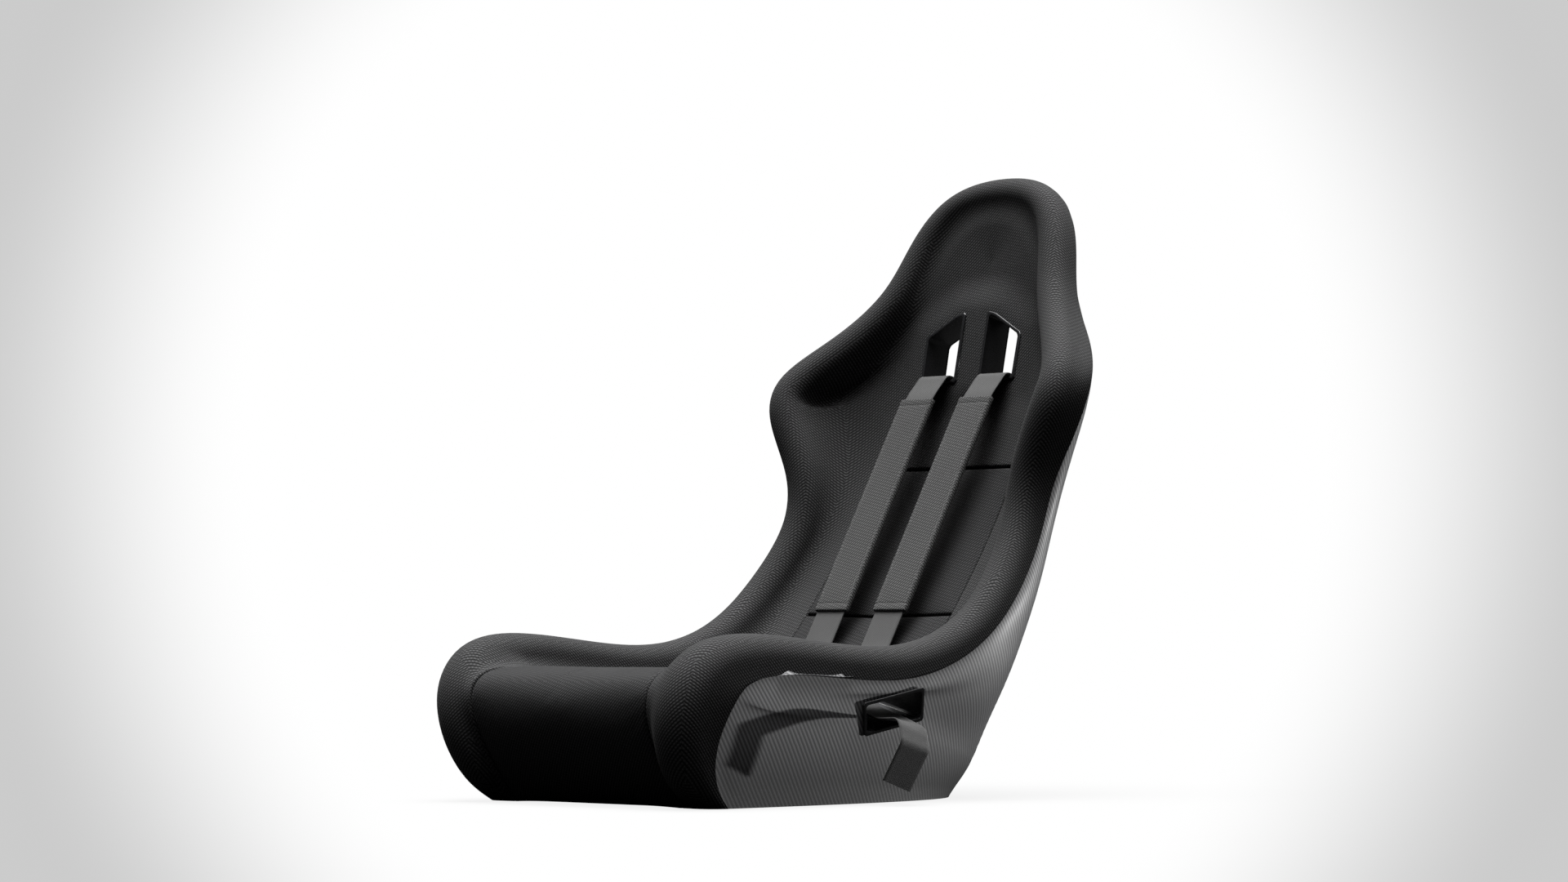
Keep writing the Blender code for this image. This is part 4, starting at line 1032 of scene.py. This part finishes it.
# --- cushions
def swell(obj, pinned, limit):
    """Inflate a closed pad a little with Blender's cloth, then cap how far points moved."""
    group = obj.vertex_groups.new(name="held")
    for value in np.unique(pinned):
        members = np.nonzero(pinned == value)[0].tolist()
        if value > 0:
            group.add(members, float(value), "REPLACE")
    cloth = obj.modifiers.new("inflate", "CLOTH")
    cloth.settings.quality = 5
    cloth.settings.use_pressure = True
    cloth.settings.uniform_pressure_force = PUFF_PRESSURE
    cloth.settings.vertex_group_mass = "held"
    cloth.settings.effector_weights.gravity = 0.0
    cloth.settings.tension_stiffness = 15.0
    cloth.settings.bending_stiffness = 0.5
    cloth.collision_settings.use_collision = False
    scene = bpy.context.scene
    for step in range(1, PUFF_FRAMES + 1):
        scene.frame_set(step)
    graph = bpy.context.evaluated_depsgraph_get()
    count = len(obj.data.vertices)
    rest = np.zeros(count * 3)
    moved = np.zeros(count * 3)
    obj.data.vertices.foreach_get("co", rest)
    obj.evaluated_get(graph).data.vertices.foreach_get("co", moved)
    shift = (moved - rest).reshape(-1, 3)
    size = np.linalg.norm(shift, axis=1)[:, None]
    capped = limit * np.tanh(size / limit)
    shift = shift * capped / np.maximum(size, 1e-12)
    obj.modifiers.clear()
    obj.vertex_groups.clear()
    obj.data.vertices.foreach_set("co", (rest.reshape(-1, 3) + shift).ravel())
    obj.data.update()
    scene.frame_set(1)


def cushion_rows(start, end):
    """Row stations of a cushion, closer together at the seams; station 0 is the floor."""
    lower = seam_rows(start, 1) if start > 0 else [0.0]
    upper = seam_rows(end, -1)
    low, high = max(lower), min(upper)
    count = int((high - low) * 9) + 4
    return sorted(lower + upper + list(np.linspace(low, high, count)[1:-1]))


def build_cushion(name, start, end, crown, mats):
    """A crowned pad between two seams, rounded where it meets the cover and its neighbours."""
    rows = cushion_rows(start, end)
    sheet = Sheet(rows, columns=N_CUSHION)
    rows = sheet.rows
    row_fall = np.zeros(len(rows))
    if start > 0:
        row_fall += rounding((rows - rows[0]) * station(start)["pitch"], SEAM_EDGE)
    row_fall += rounding((rows[-1] - rows) * station(end)["pitch"], SEAM_EDGE)
    fall = np.hypot(sheet.fall, row_fall[:, None])
    share = sheet.column / (N_CUSHION - 1)
    ease_rows = np.clip((rows - start) / 0.9, 0, 1) if start > 0 else np.clip(rows / 2.5, 0, 1)
    ease_rows = ease_rows * np.clip((end - rows) / 0.7, 0, 1)
    lift = crown * np.sin(ease_rows * math.pi / 2)[:, None] * (1 - share[None, :] ** 4)
    keep = np.ones((len(rows) - 1, len(sheet.column) - 1), bool)
    top = sheet.points + sheet.normals * (lift - fall)[:, :, None]
    bottom = sheet.points - sheet.normals * (sheet.depth - TAPE_AND_AIR)[:, :, None]
    pad = slab(name + "_pad", sheet, keep, top, bottom, mats["cushion"], sharp=60.0)
    co = np.array([v.co for v in pad.data.vertices])
    flat_top = top.reshape(-1, 3)
    free = np.clip(fall.ravel() / (1.0 * MM), 0, 1)
    near = nearest(co, flat_top)
    held = np.where(near[0] < 1e-6, free[near[1]], 1.0)
    swell(pad, np.round(held, 1), PUFF_LIMIT)
    adopt(pad, "seat", "trim", name)


def nearest(points, others):
    """For each point, the distance to and index of the closest of the others."""
    tree = KDTree(len(others))
    for n, p in enumerate(others):
        tree.insert(p, n)
    tree.balance()
    found = [tree.find(p) for p in points]
    return np.array([f[2] for f in found]), np.array([f[1] for f in found])


# --- harness
def band_profile():
    """Outline of a woven belt's cross-section, as (across, up)."""
    half, bead = WEB_WIDTH / 2, BELT_BEAD
    a = np.r_[np.linspace(-half + bead, half - bead, 13), half - bead * 0.45, half - bead * 0.12]
    a = np.r_[-half + bead * 0.12, -half + bead * 0.45, a]
    swell_edge = 1 + 0.12 * np.exp(-((half - bead - np.abs(a)) / (0.9 * MM)) ** 2)
    edge = np.sqrt(np.clip(1 - (np.clip(np.abs(a) - (half - bead), 0, bead) / bead) ** 2, 0, 1))
    b = WEB_THICK / 2 * edge * np.where(np.abs(a) > half - bead, 1.12, swell_edge)
    return np.vstack([[[-half, 0.0]], np.c_[a, b], [[half, 0.0]], np.c_[a[::-1], -b[::-1]]])


def band(name, path, across, mat):
    """A woven belt along a path; across gives the width direction at each path point."""
    centres = np.array([tuple(p) for p in path])
    arc = arc_lengths(centres)
    profile = band_profile()
    count = len(profile)
    tangents = unit_rows(np.gradient(centres, arc, axis=0))
    widths = np.array([tuple(w) for w in across])
    widths = unit_rows(widths - tangents * np.sum(widths * tangents, axis=1)[:, None])
    ups = np.cross(tangents, widths)
    verts = [c + w * a + u * b for c, w, u in zip(centres, widths, ups) for a, b in profile]
    uvs = [(a, s) for s in arc for a, _ in profile]
    faces = []
    for k in range(len(arc) - 1):
        for i in range(count):
            j = (i + 1) % count
            faces.append([k * count + i, (k + 1) * count + i, (k + 1) * count + j, k * count + j])
    last = (len(arc) - 1) * count
    faces.append(list(range(count)))
    faces.append([last + i for i in reversed(range(count))])
    obj = new_mesh_object(name, verts, faces, mat, sharp=55.0, weld=False)
    set_uv(obj, uvs)
    return obj


def set_uv(obj, uvs):
    """Give an object one UV layer from a pair per vertex."""
    layer = obj.data.uv_layers.new(name="UVMap")
    loops = np.zeros(len(obj.data.loops), int)
    obj.data.loops.foreach_get("vertex_index", loops)
    layer.data.foreach_set("uv", np.array(uvs, float)[loops].ravel())


def stitches(name, places, mat, body, slot):
    """Short raised threads; places are (point, along, up) triples."""
    verts = []
    faces = []
    sides = THREAD_SIDES
    for point, along, up in places:
        point, along, up = Vector(point), Vector(along).normalized(), Vector(up).normalized()
        side = along.cross(up).normalized()
        base = len(verts)
        for share, size in ((-0.5, 0.35), (-0.34, 1.0), (0.0, 1.12), (0.34, 1.0), (0.5, 0.35)):
            sink = -0.35 * THREAD_WIDE * abs(share * 2) ** 2
            ring = point + along * share * THREAD_LENGTH + up * sink
            for n in range(sides):
                a = 2 * math.pi * n / sides
                spoke = side * math.cos(a) + up * math.sin(a)
                verts.append(ring + spoke * (THREAD_WIDE / 2 * size))
        faces += tube_faces(base, 5, sides)
        faces.append([base + n for n in reversed(range(sides))])
        faces.append([base + 4 * sides + n for n in range(sides)])
    adopt(new_mesh_object(name, verts, faces, mat, weld=False), body, slot)


def shoulder_corners(side):
    """Corners of a shoulder belt's centre line, from the tail behind the seat."""
    x = side * STRAP_X
    lean = Vector((0, PAD_TOP[0] - PAD_BOTTOM[0], PAD_TOP[1] - PAD_BOTTOM[1])).normalized()
    place = slot_place(side)
    floor = SLOT_OUTLINE[0][1] * MM + 3.8 * MM
    return [
        place(STRAP_X, floor - 0.125, REAR_RING_AT + STRAP_REAR_CLEAR),
        place(STRAP_X, floor, REAR_RING_AT + STRAP_REAR_CLEAR),
        place(STRAP_X, floor, SLOT_STAND - SLOT_LIP_THICK - 0.0065),
        Vector((x, *PAD_TOP)) + lean * 0.004,
        Vector((x, *PAD_BOTTOM)) - lean * 0.055,
        Vector((side * 0.0505, SHOULDER_END[1] + 0.038, SHOULDER_END[2] + 0.0245)),
        Vector((side * SHOULDER_END[0], SHOULDER_END[1], SHOULDER_END[2])),
    ]


def build_shoulder_strap(label, side, mats):
    """A shoulder belt from its tail behind the seat to its latch plate."""
    path = even_path(rounded_path(shoulder_corners(side), SHOULDER_BENDS), 0.004)
    strap = band("harness_strap_" + label, path, [(1, 0, 0)] * len(path), mats["webbing"])
    adopt(strap, "seat", "webbing", "shoulder_strap_" + label)
    sewn_end("shoulder_" + label, path, (1, 0, 0), mats)


def sewn_end(label, path, across, mats):
    """Box-and-cross stitching where a belt's folded end is sewn to itself."""
    centres = [Vector(p) for p in path]
    end = centres[-1]
    back = (centres[-8] - end).normalized()
    wide = Vector(across)
    wide = (wide - back * wide.dot(back)).normalized()
    up = back.cross(wide).normalized()
    if up.z < 0:
        up = -up
    low, high, half = 0.007, 0.027, 0.019
    corners = [(-half, low), (half, low), (half, high), (-half, high)]
    runs = [(corners[n], corners[(n + 1) % 4]) for n in range(4)]
    runs += [(corners[0], corners[2]), (corners[1], corners[3])]
    places = []
    for (a0, b0), (a1, b1) in runs:
        span = math.hypot(a1 - a0, b1 - b0)
        count = max(int(span / 0.0038), 1)
        heading = wide * (a1 - a0) + back * (b1 - b0)
        for n in range(count):
            k = (n + 0.5) / count
            point = end + wide * (a0 + (a1 - a0) * k) + back * (b0 + (b1 - b0) * k)
            places.append((point + up * (WEB_THICK / 2 + 0.12 * MM), heading, up))
    stitches("stitching_" + label, places, mats["thread"], "seat", "webbing")


def pad_loop(half_width, half_thick, corner, crown, groove):
    """Closed outline of a pad: flat faces, rounded edges, a sewn channel near each edge."""
    flat = np.linspace(-(half_width - corner), half_width - corner, 29)
    dip = groove * np.exp(-((half_width - PAD_SEAM_IN - np.abs(flat)) / (1.6 * MM)) ** 2)
    b = half_thick + crown * (1 - (flat / half_width) ** 2) - dip
    turn = np.linspace(0, math.pi, 9)[1:-1]
    right = np.c_[half_width - corner + corner * np.sin(turn), half_thick * np.cos(turn)]
    left = np.c_[-(half_width - corner) - corner * np.sin(turn), -half_thick * np.cos(turn)]
    return np.vstack([np.c_[flat, b], right, np.c_[flat[::-1], -b[::-1]], left])


def build_shoulder_pad(label, side, mats):
    """Padded sleeve round the belt; it slides along the belt."""
    top = Vector((side * STRAP_X, *PAD_TOP))
    bottom = Vector((side * STRAP_X, *PAD_BOTTOM))
    along = (top - bottom).normalized()
    length = (top - bottom).length
    across = Vector((1, 0, 0))
    normal = across.cross(along).normalized()
    half_w, half_t = PAD_WIDTH / 2, PAD_THICK / 2
    hem = PAD_HEM

    def ring(at, shrink, thin, crown, groove):
        loop = pad_loop(half_w - shrink, half_t - thin, PAD_CORNER - shrink, crown, groove)
        return [bottom + along * at + across * a + normal * b for a, b in loop]

    inner = pad_loop(WEB_WIDTH / 2 + 0.7 * MM, WEB_THICK / 2 + 0.7 * MM, 0.8 * MM, 0.0, 0.0)
    steps = [(0.0, 1.2 * MM, 1.0 * MM), (0.3 * MM, 0.6 * MM, 0.5 * MM), (1.0 * MM, 0.15 * MM, 0.15 * MM),
             (2.0 * MM, 0.0, 0.0)]
    stations = [(a, s, t, 0.2 * MM, 0.1 * MM) for a, s, t in steps]
    run = [hem - 1.8 * MM, hem - 1.0 * MM, hem, hem + 1.0 * MM, hem + 1.8 * MM]
    middle = list(np.linspace(hem + 4 * MM, length - hem - 4 * MM, 44))
    places = run + middle + [length - r for r in reversed(run)]
    for at in places:
        end_gap = min(at, length - at)
        seam = math.exp(-((end_gap - hem) / (1.0 * MM)) ** 2)
        crown = 0.55 * MM * min(max((end_gap - hem) / 0.02, 0), 1)
        stations.append((at, 0.0, 0.55 * MM * seam, crown, 0.5 * MM))
    stations += [(length - a, s, t, 0.2 * MM, 0.1 * MM) for a, s, t in reversed(steps)]
    loops = [[bottom + across * a + normal * b for a, b in inner]]
    loops += [ring(*entry) for entry in stations]
    loops += [[bottom + along * length + across * a + normal * b for a, b in inner]]
    verts = [p for loop in loops for p in loop]
    faces = tube_faces(0, len(loops), len(loops[0]), closed=True)
    pad = new_mesh_object("harness_pad_" + label, verts, faces, mats["pad"], weld=False)
    adopt(pad, "pad_" + label, "pad", "shoulder_pad_" + label)

    places = []
    for edge in (-1, 1):
        count = int((length - 2 * hem) / 0.0044)
        for n in range(count):
            at = hem + (n + 0.5) * (length - 2 * hem) / count
            point = bottom + along * at + across * edge * (half_w - PAD_SEAM_IN) + normal * half_t
            places.append((point - normal * 0.15 * MM, along, normal))
    count = 11
    for at in (hem, length - hem):
        for n in range(count):
            a = (n + 0.5) / count * 2 - 1
            point = bottom + along * at + across * a * (half_w - 5.5 * MM) + normal * (half_t - 0.45 * MM)
            places.append((point, across, normal))
    stitches("pad_stitching_" + label, places, mats["thread"], "pad_" + label, "pad")


def lap_path(side):
    """A lap belt's centre line from its latch plate out through the slot, and its width's direction."""
    def at(x, y, z):
        return Vector((side * x, y, z))

    corners = [
        at(*LAP_END),
        at(0.120, 0.043, 0.1235),
        at(0.160, 0.041, 0.1245),
        at(LAP_OUTER_X, 0.034, 0.1040),
        at(LAP_OUTER_X + 0.046, 0.024, 0.0985),
        at(LAP_OUTER_X + 0.062, 0.012, 0.072),
        at(LAP_OUTER_X + 0.046, -0.004, 0.024),
    ]
    path = even_path(rounded_path(corners, LAP_BENDS, steps=8), 0.003)
    across = []
    outside = 0.0
    for k, p in enumerate(path):
        if k and abs(p.x) > LAP_OUTER_X:
            outside += (p - path[k - 1]).length
        hang = min(outside / LAP_TWIST_REACH, 1.0)
        across.append(Vector((0, 1, -LAP_TWIST * hang)).normalized())
    return path, across


def build_lap_strap(label, side, mats):
    """A lap belt, sewn at its latch plate and cut off square outside the panel."""
    path, across = lap_path(side)
    strap = band("belt_" + label, path, across, mats["lap"])
    adopt(strap, "seat", "lap_webbing", "lap_strap_" + label)
    sewn_end("lap_" + label, list(reversed(path)), (0, 1, 0), mats)


# --- CAD nodes kept as they are
def dress(name, mat, bevel):
    """Give a CAD node its finish and soften its hard edges."""
    node = NODES[name]
    node.data.materials.clear()
    node.data.materials.append(mat)
    node.data.polygons.foreach_set("use_smooth", [True] * len(node.data.polygons))
    weld = node.modifiers.new("weld", "WELD")
    weld.merge_threshold = 1e-5
    if bevel:
        soft = node.modifiers.new("soften", "BEVEL")
        soft.width = bevel
        soft.segments = 3
        soft.limit_method = "ANGLE"
        soft.angle_limit = math.radians(28)
        soft.harden_normals = True


def dress_hardware(mats):
    """Finish every CAD node that keeps its own shape."""
    for name, finish, bevel in PLAIN_HARDWARE:
        dress(name, mats[finish], bevel * MM)
    for label, _ in SIDES:
        for name, finish, bevel in PAIRED_HARDWARE:
            dress(name + label, mats[finish], bevel * MM)


# --- stage, light, camera
def vignette(g):
    """White in the middle of the picture, falling to grey at its sides and corners."""
    x, y, _ = g.split(g.coords.outputs["Window"])
    dx = g.math("MULTIPLY_ADD", x, 2.0, -1.0)
    dy = g.math("MULTIPLY_ADD", y, 2.0, -1.0)
    far = g.math("SQRT", g.add(g.mul(dx, dx), g.mul(g.mul(dy, dy), 0.306)))
    return g.ramp(far, 0.68, 1.08, 1.0, 0.60, smooth=True)


def build_stage():
    """A plain pale floor that only the camera sees, so nothing is lit from below."""
    g = Graph("floor_white")
    out = g.tree.nodes["Material Output"]
    shade = vignette(g)
    grain = g.noise(3.0, 2.0)
    glow = g.node("Emission", {"Color": (1, 1, 1), "Strength": g.mul(shade, FLOOR_GLOW)})
    tone = g.mul(shade, g.ramp(grain, 0.3, 0.7, FLOOR_ALBEDO * 0.995, FLOOR_ALBEDO))
    paint = g.node("CombineXYZ", {0: tone, 1: tone, 2: tone})
    flat = g.node("BsdfDiffuse", {"Color": paint.outputs[0]})
    both = g.node("AddShader", {0: glow.outputs[0], 1: flat.outputs[0]})
    dark = g.node("BsdfDiffuse", {"Color": (0.02, 0.02, 0.02)})
    g.tree.links.new(g.seen(dark.outputs[0], both.outputs[0]), out.inputs["Surface"])
    g.tree.nodes.remove(g.bsdf)
    size = FLOOR_SIZE
    corners = [(-size, -size, 0), (size, -size, 0), (size, size, 0), (-size, size, 0)]
    floor = new_mesh_object("floor", corners, [[0, 1, 2, 3]], g.mat)
    floor.location.z = -0.2 * MM


def build_world():
    """White backdrop for the camera; for the object, soft light from above and behind."""
    world = bpy.data.worlds.new("studio")
    bpy.context.scene.world = world
    world.use_nodes = True
    g = Graph.__new__(Graph)
    g.tree = world.node_tree
    g.tree.nodes.clear()
    g.coords = g.tree.nodes.new("ShaderNodeTexCoord")
    x, y, z = g.split(g.coords.outputs["Generated"])
    top = g.mul(g.math("POWER", g.math("MAXIMUM", z, 0.0), TOP_FOCUS), TOP_LIGHT)
    toward = g.add(g.add(g.mul(x, 0.55), g.mul(y, 0.75)), g.mul(z, 0.35))
    side = g.mul(g.math("POWER", g.math("MAXIMUM", toward, 0.0), 4.0), SIDE_LIGHT)
    above = g.math("GREATER_THAN", z, 0.0)
    light = g.mul(g.add(top, side), above)
    studio = g.node("Background", {"Color": (1, 1, 1), "Strength": light})
    back = g.node("Background", {"Color": (1, 1, 1), "Strength": vignette(g)})
    out = g.node("OutputWorld")
    g.tree.links.new(g.seen(studio.outputs[0], back.outputs[0]), out.inputs["Surface"])


def build_key():
    """A sun that reaches only the side panel's surroundings and is shaded only by the lap belts."""
    lamp = bpy.data.lights.new("key", "SUN")
    lamp.energy = KEY_POWER
    lamp.angle = math.radians(KEY_SOFTNESS)
    obj = bpy.data.objects.new("key", lamp)
    obj.rotation_euler = Vector(KEY_FROM).to_track_quat("Z", "Y").to_euler()
    bpy.context.scene.collection.objects.link(obj)
    lit = bpy.data.collections.new("lit_by_key")
    for name in ("seat_shell", "belt_left", "belt_right", "base_panel"):
        lit.objects.link(bpy.data.objects[name])
    obj.light_linking.receiver_collection = lit
    shading = bpy.data.collections.new("shades_key")
    for label, _ in SIDES:
        shading.objects.link(bpy.data.objects["belt_" + label])
        shading.objects.link(NODES["lap_slot_bezel_" + label])
    obj.light_linking.blocker_collection = shading


def build_camera():
    """The camera at the seat's own height, turned to its front left."""
    lens = bpy.data.cameras.new("camera")
    lens.lens = CAMERA_LENS
    lens.sensor_width = 36.0
    lens.shift_y = CAMERA_SHIFT_Y
    lens.clip_end = 200.0
    camera = bpy.data.objects.new("camera", lens)
    camera.location = CAMERA_PLACE
    camera.rotation_euler = (math.radians(90), 0, math.radians(CAMERA_TURN))
    bpy.context.scene.collection.objects.link(camera)
    bpy.context.scene.camera = camera
    bpy.context.scene.view_settings.view_transform = "Standard"


# --- assembly
def build():
    """Make every piece, then the stage, the light and the camera."""
    mats = make_materials()
    sheet = Sheet(main_rows(), evened=True)
    build_shell(sheet, mats)
    build_cover(sheet, mats)
    build_cushion("seat_cushion", 0.0, SEAM_PAN_BACK, 0.0, mats)
    build_cushion("back_cushion_lower", SEAM_PAN_BACK, SEAM_LOWER, 1.5 * MM, mats)
    build_cushion("back_cushion_middle", SEAM_LOWER, SEAM_UPPER, 1.5 * MM, mats)
    for label, side in SIDES:
        build_shoulder_strap(label, side, mats)
        build_shoulder_pad(label, side, mats)
        build_lap_strap(label, side, mats)
    dress_hardware(mats)
    build_stage()
    build_world()
    build_key()
    build_camera()


build()
